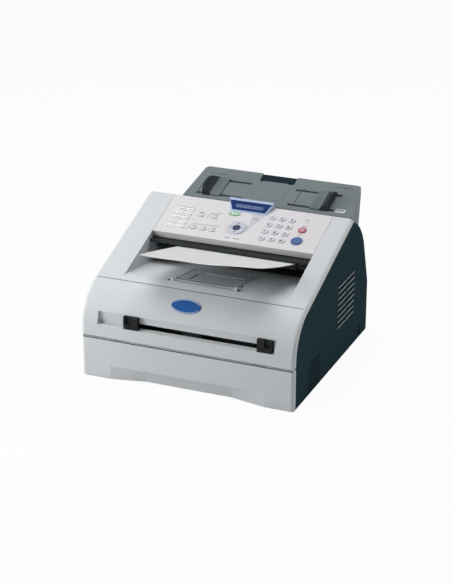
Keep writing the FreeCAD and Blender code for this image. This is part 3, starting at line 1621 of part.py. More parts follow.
def make_switch():
    """The rocker of the power switch, round about its pin, between two ears of the side cover."""
    axis = f"{HALF_TEXT} + side_thickness / 3 - switch_depth"
    barrel = rod(
        "rocker_barrel",
        "switch_height / 2",
        "switch_width",
        (axis, f"{SWITCH_BACK_TEXT} - switch_width / 2", "switch_up"),
        "Y",
    )
    front = box(
        "rocker_front",
        ("switch_depth", "switch_width", "switch_height"),
        (
            f"{axis} - switch_pin_radius - side_thickness / 3",
            f"{SWITCH_BACK_TEXT} - switch_width / 2",
            "switch_up - switch_height / 2",
        ),
    )
    rocker = doc.addObject("Part::MultiCommon", "rocker_cap")
    rocker.Shapes = [barrel, front]
    pin = rod(
        "rocker_pin",
        "switch_pin_radius",
        "switch_width + 2 * (side_thickness + 2 * play)",
        (axis, f"{SWITCH_BACK_TEXT} - switch_width / 2 - side_thickness - 2 * play", "switch_up"),
        "Y",
    )
    keep(fused("rocker", [rocker, pin]), "power_switch")


def make_engine():
    """Rollers, laser unit, toner, drum and board inside the frame."""

    def roller(label, radius, length, back, up):
        sleeve = rod(f"{label}_sleeve", radius, length, (f"-({length}) / 2", back, up))
        shaft = rod(
            f"{label}_shaft", "shaft_radius", f"2 * {FRAME_FACE_TEXT}", (f"-{FRAME_FACE_TEXT}", back, up)
        )
        keep(fused(f"{label}_roller", [sleeve, shaft]), f"{label}_roller")

    roller("pickup", "pickup_radius", "pickup_length", PICKUP_BACK_TEXT, "pickup_up")
    roller("heat", "fuser_radius", "fuser_length", FUSER_BACK_TEXT, "fuser_up + 2 * fuser_radius + play")
    roller("pressure", "fuser_radius", "fuser_length", FUSER_BACK_TEXT, "fuser_up")
    roller("exit", "exit_radius", "exit_length", EXIT_BACK_TEXT, EXIT_UP_TEXT)

    hopper = box(
        "toner_hopper",
        ("2 * toner_half", "toner_length", "toner_height"),
        ("-toner_half", TONER_FRONT_TEXT, DECK_TOP_TEXT),
    )
    keep(hopper, "toner_cartridge")
    carrier = box(
        "drum_carrier",
        ("2 * drum_half", "drum_length", "drum_height"),
        ("-drum_half", f"{TONER_FRONT_TEXT} + toner_length + drum_gap", DECK_TOP_TEXT),
    )
    keep(carrier, "drum_unit")
    laser = box(
        "laser_box",
        ("2 * laser_half", "laser_deck_front + laser_deck_rear", "laser_height"),
        ("-laser_half", "-laser_deck_front", "laser_deck_height + frame_wall"),
    )
    keep(laser, "laser_unit")
    board = box(
        "board",
        ("board_thickness", "board_length", "board_height"),
        (f"-{FRAME_INNER_TEXT}", "board_front", "board_bottom"),
    )
    keep(board, "main_board")


def make_small_parts():
    """Four rubber feet under the runners and four screws on the rear cover."""
    feet = [
        rod(f"foot_{index}", "foot_radius", "foot_height", (x, y, "0"), "Z")
        for index, (x, y) in enumerate(
            (x, y)
            for x in (f"foot_inset - {FRAME_INNER_TEXT}", f"{FRAME_INNER_TEXT} - foot_inset")
            for y in ("foot_setback - body_depth / 2", "body_depth / 2 - foot_setback")
        )
    ]
    keep(group("feet", feet), "rubber_feet")
    screws = [
        rod(f"screw_{index}", "screw_radius", "screw_height", (x, REAR_FACE_TEXT, z), "Y")
        for index, (x, z) in enumerate(
            (x, z)
            for x in (f"{FRAME_FACE_TEXT} - 4 * screw_radius", f"4 * screw_radius - {FRAME_FACE_TEXT}")
            for z in ("foot_height + 3 * screw_radius", f"{LEAN_FOOT_Z_TEXT} - 3 * screw_radius")
        )
    ]
    keep(group("screws", screws), "cover_screws")


def make_page():
    """A printed page on its way out: flat in the exit, curling up towards its front corners."""
    tilt = math.radians(dim.page_tilt)
    start_y = EXIT_BACK
    start_z = EXIT_UP + dim.exit_radius + 2 * dim.play
    under_shelf = start_z + (start_y - SHELF_FRONT) * math.tan(tilt)
    half = dim.page_width / 2

    def ring(y, z, twist, sag):
        rings = []
        for lift in (0, dim.page_thickness):
            rings.append(
                Part.Arc(
                    Vector(dim.feed_centre - half, y, z - twist + lift),
                    Vector(dim.feed_centre, y, z - sag + lift),
                    Vector(dim.feed_centre + half, y, z + twist + lift),
                ).toShape()
            )
        first, second = rings
        sides = [
            Part.LineSegment(first.lastVertex().Point, second.lastVertex().Point).toShape(),
            Part.LineSegment(second.firstVertex().Point, first.firstVertex().Point).toShape(),
        ]
        return Part.Wire([first, sides[0], second, sides[1]])

    gentle = 0.05
    rear = ring(start_y, start_z, 0, gentle)
    middle = ring(SHELF_FRONT, under_shelf, 0, 2 * gentle)
    front = ring(FRONT + dim.page_inset, start_z + dim.page_rise, dim.page_corner_rise, dim.page_sag)
    sheet_shape = Part.makeLoft([rear, middle, front], True, False)
    keep(feature("page", sheet_shape), "printed_page")


def main():
    """Builds every sub-part, checks it and writes its file."""
    make_side_covers()
    make_frame()
    make_front_cover()
    make_badge()
    make_manual_guides()
    make_cassette()
    make_top_cover()
    make_output_flap()
    make_scanner_frame()
    list_keys()
    make_keys()
    make_panel()
    make_display()
    make_document_tray()
    make_rear()
    make_switch()
    make_engine()
    make_small_parts()
    make_page()
    doc.recompute()
    for obj in doc.Objects:
        if "Invalid" in obj.State or "Error" in obj.State:
            raise RuntimeError(f"{obj.Name} failed: {obj.State}")
    for obj in SUBPARTS:
        if obj.Shape.isNull() or not obj.Shape.isValid() or not obj.Shape.Solids:
            raise RuntimeError(f"{obj.Label} has no valid solid")
    os.makedirs("parts", exist_ok=True)
    for obj in SUBPARTS:
        obj.Shape.exportStep(f"parts/{obj.Label}.step")
        print(f"{obj.Label}: {len(obj.Shape.Solids)} solids, {obj.Shape.Volume:.0f} mm3")


main()
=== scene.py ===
"""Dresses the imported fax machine: finishes, printed marks, small trim, the page and a plain studio."""

import json
import logging
import math
from collections.abc import Sequence
from dataclasses import dataclass
from enum import Enum
from typing import Any

import bmesh
import bpy
import numpy as np
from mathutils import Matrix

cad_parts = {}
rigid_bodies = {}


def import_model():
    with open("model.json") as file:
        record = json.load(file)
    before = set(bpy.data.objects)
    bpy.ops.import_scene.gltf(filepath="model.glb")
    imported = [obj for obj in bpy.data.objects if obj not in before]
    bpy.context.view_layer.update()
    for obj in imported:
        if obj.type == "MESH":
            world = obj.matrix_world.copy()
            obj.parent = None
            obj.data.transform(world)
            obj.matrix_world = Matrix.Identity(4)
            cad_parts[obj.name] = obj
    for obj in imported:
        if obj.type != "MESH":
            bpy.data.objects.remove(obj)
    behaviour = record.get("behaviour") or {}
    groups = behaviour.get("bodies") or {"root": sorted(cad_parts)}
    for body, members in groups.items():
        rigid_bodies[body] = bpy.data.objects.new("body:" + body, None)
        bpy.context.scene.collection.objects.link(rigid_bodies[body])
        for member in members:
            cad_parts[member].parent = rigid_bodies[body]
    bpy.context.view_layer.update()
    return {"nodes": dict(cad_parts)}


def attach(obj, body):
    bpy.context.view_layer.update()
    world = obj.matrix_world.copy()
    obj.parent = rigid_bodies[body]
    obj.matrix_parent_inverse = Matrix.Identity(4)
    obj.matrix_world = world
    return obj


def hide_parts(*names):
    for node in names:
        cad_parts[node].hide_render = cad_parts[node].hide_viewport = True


for stray in tuple(bpy.data.objects):
    bpy.data.objects.remove(stray)
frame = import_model()

LOG = logging.getLogger("fax_machine")
MM = 0.001
MERGE_DISTANCE = 1e-6
SHARP_ANGLE = math.radians(38)
# How far print stands above its surface and how far trim goes into it, in millimetres.
PRINT_RISE = 0.06
THIN_RISE = 0.05
SINK = 0.3
# Where a plate's edge turns over, as shares of its rise and of its reach.
EDGE_RISE = 0.6
EDGE_REACH = 0.95
# Powers of superellipse outlines.
ROUND = 2.0
SQUARE = 12.0
# Steps round outlines, along lines and round rods.
OUTLINE_STEPS = 40
LINE_STEPS = 24
ROD_STEPS = 14

Pair = tuple[float, float]
Triple = tuple[float, float, float]
Quad = tuple[float, float, float, float]
Line = tuple[tuple[Pair, ...], float]


def linear(colour: Triple, gain: float = 1.0) -> Quad:
    """Turns an 8-bit screen colour into the linear colour that the shaders use.

    Args:
        colour: red, green and blue from 0 to 255.
        gain: factor on the linear values.

    Returns:
        Linear red, green, blue and an alpha of one.
    """
    parts = np.asarray(colour, dtype=float) / 255.0
    low = parts / 12.92
    high = ((parts + 0.055) / 1.055) ** 2.4
    mixed = np.clip(np.where(parts <= 0.04045, low, high) * gain, 0.0, 1.0)
    return (float(mixed[0]), float(mixed[1]), float(mixed[2]), 1.0)


class Wire:
    """One output of a material's nodes; arithmetic on it adds Math nodes."""

    def __init__(self, graph: "Graph", socket: bpy.types.NodeSocket) -> None:
        """Keeps the graph and the socket."""
        self.graph = graph
        self.socket = socket

    def math(self, operation: str, first: "Value", second: "Value" = 0.0) -> "Wire":
        """Adds one Math node on two values and gives its result."""
        return self.graph.node("ShaderNodeMath", {"operation": operation}, {0: first, 1: second})

    def __add__(self, other: "Value") -> "Wire":
        """Adds a value."""
        return self.math("ADD", self, other)

    def __radd__(self, other: "Value") -> "Wire":
        """Is added to a value."""
        return self.math("ADD", other, self)

    def __sub__(self, other: "Value") -> "Wire":
        """Takes a value away."""
        return self.math("SUBTRACT", self, other)

    def __rsub__(self, other: "Value") -> "Wire":
        """Is taken away from a value."""
        return self.math("SUBTRACT", other, self)

    def __mul__(self, other: "Value") -> "Wire":
        """Multiplies by a value."""
        return self.math("MULTIPLY", self, other)

    def __rmul__(self, other: "Value") -> "Wire":
        """Is multiplied by a value."""
        return self.math("MULTIPLY", other, self)

    def __gt__(self, other: "Value") -> "Wire":
        """Is one where this is more than the value, and zero elsewhere."""
        return self.math("GREATER_THAN", self, other)

    def fraction(self) -> "Wire":
        """The part after the decimal point."""
        return self.math("FRACT", self)


Value = Wire | float


class Graph:
    """The nodes of one material."""

    def __init__(self, tree: bpy.types.NodeTree) -> None:
        """Starts from an empty tree."""
        self.tree = tree
        self.tree.nodes.clear()

    def node(
        self,
        kind: str,
        settings: dict[str, Any] | None = None,
        sockets: dict[str | int, Any] | None = None,
        output: int | str = 0,
    ) -> Wire | None:
        """Adds a node, sets its choices, then its sockets.

        Args:
            kind: the node's type name.
            settings: its choices, which are set first.
            sockets: values or wires for its inputs, by name or number.
            output: number or name of the output that is given back.

        Returns:
            The chosen output, or None for a node that has no output.
        """
        made = self.tree.nodes.new(kind)
        for name, choice in (settings or {}).items():
            setattr(made, name, choice)
        for key, value in (sockets or {}).items():
            if isinstance(value, Wire):
                self.tree.links.new(value.socket, made.inputs[key])
            else:
                made.inputs[key].default_value = value
        return Wire(self, made.outputs[output]) if made.outputs else None

    def place(self) -> Wire:
        """Object coordinates, in metres in the shared frame."""
        return self.node("ShaderNodeTexCoord", output="Object")

    def axis(self, name: str) -> Wire:
        """One of the object coordinates, X, Y or Z."""
        return self.node("ShaderNodeSeparateXYZ", {}, {0: self.place()}, output=name)

    def stretched(self, scale: Triple) -> Wire:
        """Object coordinates with each axis times its own factor."""
        return self.node("ShaderNodeMapping", {}, {"Vector": self.place(), "Scale": scale})

    def noise(self, size: float, detail: float = 2.0, where: Wire | None = None) -> Wire:
        """Smooth random values from 0 to 1 with features of about one size.

        Args:
            size: feature size in metres.
            detail: how many finer layers are added.
            where: coordinates, or None for plain object coordinates.

        Returns:
            The values.
        """
        sockets = {"Vector": where or self.place(), "Scale": 1.0 / size, "Detail": detail}
        return self.node("ShaderNodeTexNoise", {}, sockets)

    def blend(self, factor: Value, first: Wire | Quad, second: Wire | Quad) -> Wire:
        """Mixes two colours."""
        # The mix node has sockets for each kind of value: 0 is the factor, 6 and 7 are the colours.
        return self.node("ShaderNodeMix", {"data_type": "RGBA"}, {0: factor, 6: first, 7: second}, output=2)

    def bump(self, height: Wire, depth: float) -> Wire:
        """A normal that follows a height map of a given depth in metres."""
        return self.node("ShaderNodeBump", {}, {"Strength": 1.0, "Distance": depth, "Height": height})

    def finish(self, **sockets: Any) -> None:
        """Adds the surface shader with these sockets, underscores standing for blanks, and the output."""
        named = {name.replace("_", " "): value for name, value in sockets.items()}
        shader = self.node("ShaderNodeBsdfPrincipled", {}, named)
        self.node("ShaderNodeOutputMaterial", {}, {"Surface": shader})


@dataclass(frozen=True)
class Finish:
    """What every finish has: a name, the record's material slot, a screen colour and how uneven it is.

    Sizes and depths are in metres.
    """

    name: str
    slot: str
    colour: Triple
    roughness: float = 0.5
    patch: float = 0.02
    spread: float = 0.06
    gloss_spread: float = 0.1
    depth: float = 0.00002

    def make(self) -> bpy.types.Material:
        """Makes the material on first use.

        Returns:
            The material of this finish.
        """
        made = bpy.data.materials.get(self.name)
        if made is None:
            made = bpy.data.materials.new(self.name)
            made.use_nodes = True
            made.diffuse_color = linear(self.colour)
            self.lay(Graph(made.node_tree))
        return made

    def lay(self, graph: Graph) -> None:
        """Wires the finish up in an empty graph."""
        raise NotImplementedError

    def toned(self, graph: Graph, mask: Wire, low: float, high: float) -> Wire:
        """The colour, from one gain where the mask is zero to another where it is one."""
        return graph.blend(mask, linear(self.colour, low), linear(self.colour, high))

    def mottled(self, graph: Graph) -> Wire:
        """The colour, a little lighter and darker in soft patches."""
        return self.toned(graph, graph.noise(self.patch, detail=3.0), 1.0 - self.spread, 1.0 + self.spread)

    def uneven(self, mask: Wire) -> Wire:
        """The roughness, a little less and more as the mask goes from zero to one."""
        return self.roughness + self.gloss_spread * (mask - 0.5)


@dataclass(frozen=True)
class MouldedPlastic(Finish):
    """Spark-eroded plastic: a fine grain, soft patches of tone and of gloss."""

    patch: float = 0.11
    spread: float = 0.025
    gloss_spread: float = 0.12
    smear: float = 0.03
    grain: float = 0.0007
    pit_growth: float = 4.0
    pit_share: float = 0.3
    shine: float = 0.2

    def lay(self, graph: Graph) -> None:
        """Grain goes to the normal, patches to colour and roughness."""
        fine = graph.noise(self.grain, detail=2.0)
        pits = graph.noise(self.grain * self.pit_growth, detail=1.0)
        relief = (1.0 - self.pit_share) * fine + self.pit_share * pits
        graph.finish(
            Base_Color=self.mottled(graph),
            Roughness=self.uneven(graph.noise(self.smear, detail=4.0)),
            Specular_IOR_Level=self.shine,
            Normal=graph.bump(relief, self.depth),
        )


@dataclass(frozen=True)
class SplitPlastic(MouldedPlastic):
    """Two tones that change at one depth in the machine; as the shelf's finish, the front tone is painted
    shade of the exit slot.
    """

    rear_colour: Triple = (30, 34, 36)
    split: float = -0.0217

    def mottled(self, graph: Graph) -> Wire:
        """The front tone in soft patches, and the rear tone behind the split."""
        return graph.blend(graph.axis("Y") > self.split, super().mottled(graph), linear(self.rear_colour))


@dataclass(frozen=True)
class FinShadePlastic(MouldedPlastic):
    """Moulded plastic with painted shade: its outer fins are darker than the sloping web inside them,
    standing for the shade on them.
    """

    fin_shade_colour: Triple = (50, 58, 62)
    centre: float = 0.018
    reach: float = 0.101

    def mottled(self, graph: Graph) -> Wire:
        """The web's tone in soft patches, and the darker tone of painted shade on the fins beyond the reach
        on either side.
        """
        aside = graph.axis("X") - self.centre
        return graph.blend(aside * aside > self.reach**2, super().mottled(graph), linear(self.fin_shade_colour))


@dataclass(frozen=True)
class KeyCap(Finish):
    """A smooth key with a thin clear coat, duller where fingers rub it."""

    patch: float = 0.012
    spread: float = 0.02
    gloss_spread: float = 0.14
    depth: float = 0.000004
    rub: float = 0.004
    grain: float = 0.0012
    shine: float = 0.2
    coat: float = 0.04
    coat_spread: float = 0.08
    coat_roughness: float = 0.2

    def lay(self, graph: Graph) -> None:
        """Rubbed patches go to roughness and to the coat, a faint ripple to the normal."""
        rubbed = graph.noise(self.rub, detail=2.0)
        graph.finish(
            Base_Color=self.mottled(graph),
            Roughness=self.uneven(rubbed),
            Specular_IOR_Level=self.shine,
            Coat_Weight=self.coat + self.coat_spread * rubbed,
            Coat_Roughness=self.coat_roughness,
            Normal=graph.bump(graph.noise(self.grain, detail=1.0), self.depth),
        )


@dataclass(frozen=True)
class CoatedGloss(KeyCap):
    """The same clear coat, glossier and over a deep colour, as on the display and the badge."""

    patch: float = 0.02
    spread: float = 0.06
    gloss_spread: float = 0.06
    depth: float = 0.000008
    rub: float = 0.006
    grain: float = 0.01
    shine: float = 0.1
    coat: float = 0.05
    coat_spread: float = 0.04
    coat_roughness: float = 0.06


@dataclass(frozen=True)
class Rubber(Finish):
    """Dull rubber with fine ground marks."""

    spread: float = 0.12
    gloss_spread: float = 0.2
    depth: float = 0.00003
    grain: float = 0.0009
    drawn: Triple = (0.15, 1.0, 1.0)

    def lay(self, graph: Graph) -> None:
        """Ground marks go to the normal and the roughness."""
        ground = graph.noise(self.grain, detail=3.0, where=graph.stretched(self.drawn))
        graph.finish(
            Base_Color=self.mottled(graph),
            Roughness=self.uneven(ground),
            Normal=graph.bump(ground, self.depth),
        )


@dataclass(frozen=True)
class BrushedSteel(Finish):
    """Plated steel with fine lines along the machine's width."""

    gloss_spread: float = 0.16
    depth: float = 0.000006
    grain: float = 0.0016
    drawn: Triple = (0.02, 1.0, 1.0)
    tones: Pair = (0.86, 1.08)

    def lay(self, graph: Graph) -> None:
        """Lines go to roughness, colour and normal."""
        lines = graph.noise(self.grain, detail=3.0, where=graph.stretched(self.drawn))
        graph.finish(
            Base_Color=self.toned(graph, lines, *self.tones),
            Metallic=1.0,
            Roughness=self.uneven(lines),
            Normal=graph.bump(lines, self.depth),
        )


@dataclass(frozen=True)
class DotMatrix(Finish):
    """A reflective liquid-crystal film with a fine grid of dots."""

    pitch: float = 0.00055
    gap: float = 0.14
    tones: Pair = (1.1, 0.97)
    shine: float = 0.1
    coat: float = 0.03
    coat_spread: float = 0.02

    def lay(self, graph: Graph) -> None:
        """Dots are where both coordinates lie past the gap in their cell."""
        across, along = ((graph.axis(name) * (1.0 / self.pitch)).fraction() > self.gap for name in "XY")
        dots = across * along
        graph.finish(
            Base_Color=self.toned(graph, dots, *self.tones),
            Roughness=self.roughness + self.gloss_spread * dots,
            Specular_IOR_Level=self.shine,
            Coat_Weight=self.coat + self.coat_spread * dots,
        )


@dataclass(frozen=True)
class Ink(Finish):
    """Pad-printed ink, a little uneven."""

    grain: float = 0.0011
    tones: Pair = (0.92, 1.1)

    def lay(self, graph: Graph) -> None:
        """Uneven cover goes to colour and roughness."""
        cover = graph.noise(self.grain, detail=3.0)
        graph.finish(Base_Color=self.toned(graph, cover, *self.tones), Roughness=self.uneven(cover))


@dataclass(frozen=True)
class Paper(Finish):
    """Plain office paper: fibres, a soft cloud of tone, no gloss."""

    gloss_spread: float = 0.08
    grain: float = 0.0008
    drawn: Triple = (1.0, 0.3, 0.3)
    tones: Pair = (0.97, 1.02)
    cloud_tone: float = 0.99

    def lay(self, graph: Graph) -> None:
        """Fibres are noise drawn out one way, over a cloud of tone."""
        fibres = graph.noise(self.grain, detail=4.0, where=graph.stretched(self.drawn))
        tone = self.toned(graph, fibres, *self.tones)
        cloud = graph.noise(self.patch, detail=3.0)
        graph.finish(
            Base_Color=graph.blend(cloud, tone, linear(self.colour, self.cloud_tone)),
            Roughness=self.uneven(fibres),
            Normal=graph.bump(fibres, self.depth),
        )


@dataclass(frozen=True)
class CircuitBoard(Finish):
    """Solder-masked board with paler tracks."""

    gloss_spread: float = 0.12
    depth: float = 0.00003
    track: Triple = (70, 120, 80)
    cell: float = 0.004
    drawn: Triple = (1.0, 0.25, 1.0)
    bands: float = 6.0
    gap: float = 0.62

    def lay(self, graph: Graph) -> None:
        """Tracks are thin bands of a noise drawn into long cells."""
        cells = graph.noise(self.cell, detail=0.0, where=graph.stretched(self.drawn))
        tracks = (cells * self.bands).fraction() > self.gap
        graph.finish(
            Base_Color=graph.blend(tracks, linear(self.colour), linear(self.track)),
            Roughness=self.roughness - self.gloss_spread * tracks,
            Normal=graph.bump(tracks, self.depth),
        )


class Finishes(Enum):
    """Every finish on the machine. The first one listed for a material slot dresses that slot's solids."""

    PALE = MouldedPlastic("pale_moulding", "pale_plastic", (217, 221, 223), 0.52)
    PANEL = MouldedPlastic("panel_moulding", "panel_plastic", (227, 224, 227), 0.5)
    # Painted shade: the shelf's pale plastic is painted dark in front of the split for the exit slot's
    # shade over the page, and darker still behind it.
    SHELF = SplitPlastic("shelf_slot_shade", "pale_plastic", (50, 55, 58), 0.52)
    DARK = MouldedPlastic("dark_moulding", "dark_plastic", (48, 67, 74), 0.5, shine=0.0)
    # Painted shade: a dark plate laid on the tray pocket's floor, where the pocket is in shade.
    POCKET = MouldedPlastic("pocket_painted_shade", "dark_plastic", (40, 52, 60), 0.55, shine=0.0)
    TRAY = MouldedPlastic("tray_moulding", "tray_plastic", (122, 131, 134), 0.55, shine=0.1)
    # Painted shade: the guides are a little darker than the tray, and their outer fins much darker, in
    # place of the shade that falls on them.
    GUIDE = FinShadePlastic("guide_painted_fin_shade", "tray_plastic", (112, 121, 124), 0.5, shine=0.05)
    FLAP = MouldedPlastic("flap_moulding", "flap_plastic", (180, 186, 190), 0.5)
    BLACK = MouldedPlastic("black_moulding", "black_plastic", (22, 25, 28), 0.48)
    KEY_GREY = KeyCap("number_key_cap", "key_grey", (214, 214, 219), 0.42)
    KEY_WHITE = KeyCap("one_touch_cap", "key_white", (250, 250, 251), 0.42)
    KEY_GREEN = KeyCap("mode_key_cap", "key_green", (160, 205, 172), 0.38)
    KEY_RED = KeyCap("stop_key_cap", "key_red", (178, 92, 110), 0.38)
    KEY_BLUE = KeyCap("start_key_cap", "key_blue", (66, 98, 152), 0.36)
    KEY_RING = KeyCap("ring_cap", "key_grey", (200, 205, 217), 0.4)
    KEY_NAVY = KeyCap("ok_key_cap", "key_blue", (40, 50, 84), 0.36)
    BEZEL = MouldedPlastic("display_hood", "bezel_blue", (186, 203, 232), 0.35, grain=0.0009, depth=8e-6)
    WINDOW = CoatedGloss("display_glass_face", "display_glass", (28, 54, 112), 0.2, coat=0.03)
    BADGE = CoatedGloss("badge_enamel", "badge_blue", (44, 100, 172), 0.22)
    STEEL = BrushedSteel("plated_steel", "steel", (190, 192, 196), 0.32)
    ROLLER = Rubber("roller_skin", "roller_rubber", (64, 66, 68), 0.8)
    FOOT = Rubber("foot_skin", "foot_rubber", (40, 41, 43), 0.85)
    BOARD = CircuitBoard("board_mask", "board", (38, 92, 56), 0.45)
    PAPER = Paper("office_paper", "paper", (226, 227, 228), 0.9)
    FILM = DotMatrix("display_film", "display_glass", (84, 104, 142), 0.35)
    DARK_INK = Ink("dark_print", "dark_plastic", (46, 49, 58), 0.6)
    DISPLAY_INK = Ink("display_print", "display_glass", (146, 160, 186), 0.55)
    GREY_INK = Ink("grey_print", "panel_plastic", (196, 199, 207), 0.55)
    PALE_INK = Ink("pale_print", "key_white", (232, 236, 240), 0.55)
    BLUE_INK = Ink("blue_print", "key_blue", (104, 132, 178), 0.55)
    # Painted shadow in the seams, laid down as ink.
    SEAM = Ink("seam_shadow", "dark_plastic", (86, 90, 94), 0.7)
    RIM = KeyCap("badge_rim", "badge_blue", (186, 206, 234), 0.3)
    BRASS = BrushedSteel("contact_metal", "steel", (206, 178, 110), 0.3)
    GEAR = MouldedPlastic("gear_moulding", "pale_plastic", (206, 208, 204), 0.45)


@dataclass(frozen=True)
class Plane:
    """A flat place on the machine: its origin in millimetres and two unit directions on it."""

    origin: Triple
    across: Triple
    up: Triple

    def place(self, points: np.ndarray) -> np.ndarray:
        """Puts points of the plane into the shared frame: origin + u across + v up + w outwards.

        Args:
            points: array whose last axis is u, v and w in millimetres.

        Returns:
            The same array in metres in the shared frame.
        """
        across = np.asarray(self.across)
        up = np.asarray(self.up)
        basis = np.stack([across, up, np.cross(across, up)])
        return (np.asarray(self.origin) + points @ basis) * MM


def leaning(origin: Triple, degrees: float) -> Plane:
    """A plane across the machine that rises to the rear by an angle."""
    turn = math.radians(degrees)
    return Plane(origin, (1.0, 0.0, 0.0), (0.0, math.cos(turn), math.sin(turn)))


class Place(Enum):
    """The planes that the trim is laid on."""

    PANEL = leaning((0.0, -10.1, 201.91), 19.8)
    DISPLAY = leaning((6.5, 64.51, 230.82), 44.8)
    TRAY = leaning((18.0, 97.0, 232.0), 16.1)
    RECESS = leaning((0.0, -119.706, 162.449), -8.03)
    FLAP = leaning((0.0, -109.11, 163.68), -8.02)
    BADGE = leaning((-9.5, -161.11, 141.59), 42.35)
    FRONT = Plane((0.0, -186.0, 0.0), (1.0, 0.0, 0.0), (0.0, 0.0, 1.0))
    SIDE = Plane((187.0, 0.0, 0.0), (0.0, 1.0, 0.0), (0.0, 0.0, 1.0))
    REAR = Plane((0.0, 171.0, 0.0), (-1.0, 0.0, 0.0), (0.0, 0.0, 1.0))
    DOOR = Plane((0.0, 171.0, 94.0), (-1.0, 0.0, 0.0), (0.0, -0.30522, 0.95228))
    TONER = Plane((0.0, -116.0, 0.0), (1.0, 0.0, 0.0), (0.0, 0.0, 1.0))
    TONER_END = Plane((118.0, 0.0, 0.0), (0.0, 1.0, 0.0), (0.0, 0.0, 1.0))


def round_angles(count: int) -> np.ndarray:
    """Evenly spaced angles once round a circle."""
    return np.linspace(0.0, 2.0 * math.pi, count, endpoint=False)


def circle(count: int, turn: float = 0.0) -> np.ndarray:
    """Evenly spaced points on a circle of radius one, from an angle on: cosine, sine and zero."""
    angle = round_angles(count) + turn
    return np.stack([np.cos(angle), np.sin(angle), np.zeros(count)], axis=-1)


def rounded(angle: np.ndarray, power: float) -> tuple[np.ndarray, np.ndarray]:
    """Superellipse of half-size one: cosine and sine to two over the power, with their signs kept."""
    cosine = np.cos(angle)
    sine = np.sin(angle)
    reach = 2.0 / power
    return np.sign(cosine) * np.abs(cosine) ** reach, np.sign(sine) * np.abs(sine) ** reach


def plates(
    bars: np.ndarray | Sequence[Quad], level: float, rise: float, power: float = 5.0
) -> np.ndarray:
    """Low plates with superellipse outlines: each is its outline times a reach, carried over a low profile.

    Args:
        bars: one row for each plate: centre u, centre v, half-length u, half-length v.
        level: height of the surface that they lie on.
        rise: how far they stand above it.
        power: roundness of the outline, two for an ellipse.

    Returns:
        Points by plate, profile step and angle, in u, v, w.
    """
    bars = np.asarray(bars, dtype=float).reshape(-1, 4, 1, 1)
    profile = np.array(
        [(0.0, -SINK), (1.0, -SINK), (1.0, EDGE_RISE * rise), (EDGE_REACH, rise), (0.0, rise)]
    )
    reach = profile[:, :1]
    cosine, sine = rounded(round_angles(OUTLINE_STEPS), power)
    across = bars[:, 0] + bars[:, 2] * reach * cosine
    along = bars[:, 1] + bars[:, 3] * reach * sine
    height = np.broadcast_to(level + profile[:, 1:], across.shape)
    return np.stack([across, along, height], axis=-1)


def band(left: np.ndarray, right: np.ndarray, level: float, rise: float) -> np.ndarray:
    """A flat band between two lines: a low closed profile carried along both, drawn to a point at each end.

    Args:
        left: points u, v along one side.
        right: points u, v along the other side.
        level: height of the surface that it lies on.
        rise: how far it stands above it.

    Returns:
        Points by step along the band and step round the profile, in u, v, w.
    """
    weights = np.array([0.0, 0.0, 0.5, 1.0, 1.0])[None, :, None]
    heights = np.array([level - SINK, level + rise, level + rise, level + rise, level - SINK])
    flat = left[:, None, :] * (1.0 - weights) + right[:, None, :] * weights
    loops = np.concatenate([flat, np.broadcast_to(heights[None, :, None], flat.shape[:2] + (1,))], axis=-1)
    ends = loops[[0, -1]].mean(axis=1, keepdims=True) * np.ones((1, heights.size, 1))
    return np.concatenate([ends[:1], loops, ends[1:]])


def stroke(path: Sequence[Pair], width: float, level: float = 0.0) -> np.ndarray:
    """A printed line: the path, evenly resampled, moved half a width along its normal to each side.

    Args:
        path: corner points u, v.
        width: width of the line.
        level: height of the surface that it lies on.

    Returns:
        Points as from band.
    """
    corners = np.asarray(path, dtype=float)
    runs = np.concatenate([[0.0], np.cumsum(np.hypot(*np.diff(corners, axis=0).T))])
    even = np.linspace(0.0, runs[-1], LINE_STEPS)
    line = np.stack([np.interp(even, runs, corners[:, 0]), np.interp(even, runs, corners[:, 1])], axis=-1)
    heading = np.gradient(line, axis=0)
    heading /= np.linalg.norm(heading, axis=1, keepdims=True)
    side = np.stack([-heading[:, 1], heading[:, 0]], axis=-1) * width / 2.0
    return band(line + side, line - side, level, PRINT_RISE)


def strokes(lines: Sequence[Line]) -> np.ndarray:
    """Several printed lines, each a path and a width, as points by line and then as from stroke."""
    return np.stack([stroke(path, width) for path, width in lines])


def turned(centre: Pair, profile: Sequence[Pair]) -> np.ndarray:
    """A turned shape: a profile of radius and height carried round an axis normal to the plane.

    Args:
        centre: place of the axis, u and v.
        profile: radius and height pairs, from the bottom up.

    Returns:
        Points by profile step and angle, in u, v, w.
    """
    angle = round_angles(OUTLINE_STEPS)
    shape = np.asarray(profile, dtype=float)
    radius = shape[:, :1]
    across = centre[0] + radius * np.cos(angle)
    along = centre[1] + radius * np.sin(angle)
    height = np.broadcast_to(shape[:, 1:], across.shape)
    return np.stack([across, along, height], axis=-1)


def tube(path: np.ndarray, radius: float, closed: bool = False) -> np.ndarray:
    """A round rod: a circle carried along a path, square to it, drawn to a point at open ends.

    Args:
        path: points u, v, w along the middle.
        radius: radius of the rod.
        closed: whether the path comes back to its start.

    Returns:
        Points by step along the path and step round the circle.
    """
    line = np.asarray(path, dtype=float)
    if closed:
        line = np.concatenate([line, line[:1]])
        heading = np.roll(line[:-1], -1, axis=0) - np.roll(line[:-1], 1, axis=0)
        heading = np.concatenate([heading, heading[:1]])
    else:
        heading = np.gradient(line, axis=0)
    heading /= np.linalg.norm(heading, axis=1, keepdims=True)
    spread = np.ptp(line, axis=0)
    helper = np.eye(3)[int(np.argmin(spread))]
    side = np.cross(heading, helper)
    side /= np.linalg.norm(side, axis=1, keepdims=True)
    lift = np.cross(side, heading)
    angle = round_angles(ROD_STEPS)[None, :, None]
    rings = line[:, None] + radius * (np.cos(angle) * side[:, None] + np.sin(angle) * lift[:, None])
    if closed:
        return rings
    tips = line[[0, -1], None] * np.ones((1, ROD_STEPS, 1))
    return np.concatenate([tips[:1], rings, tips[1:]])


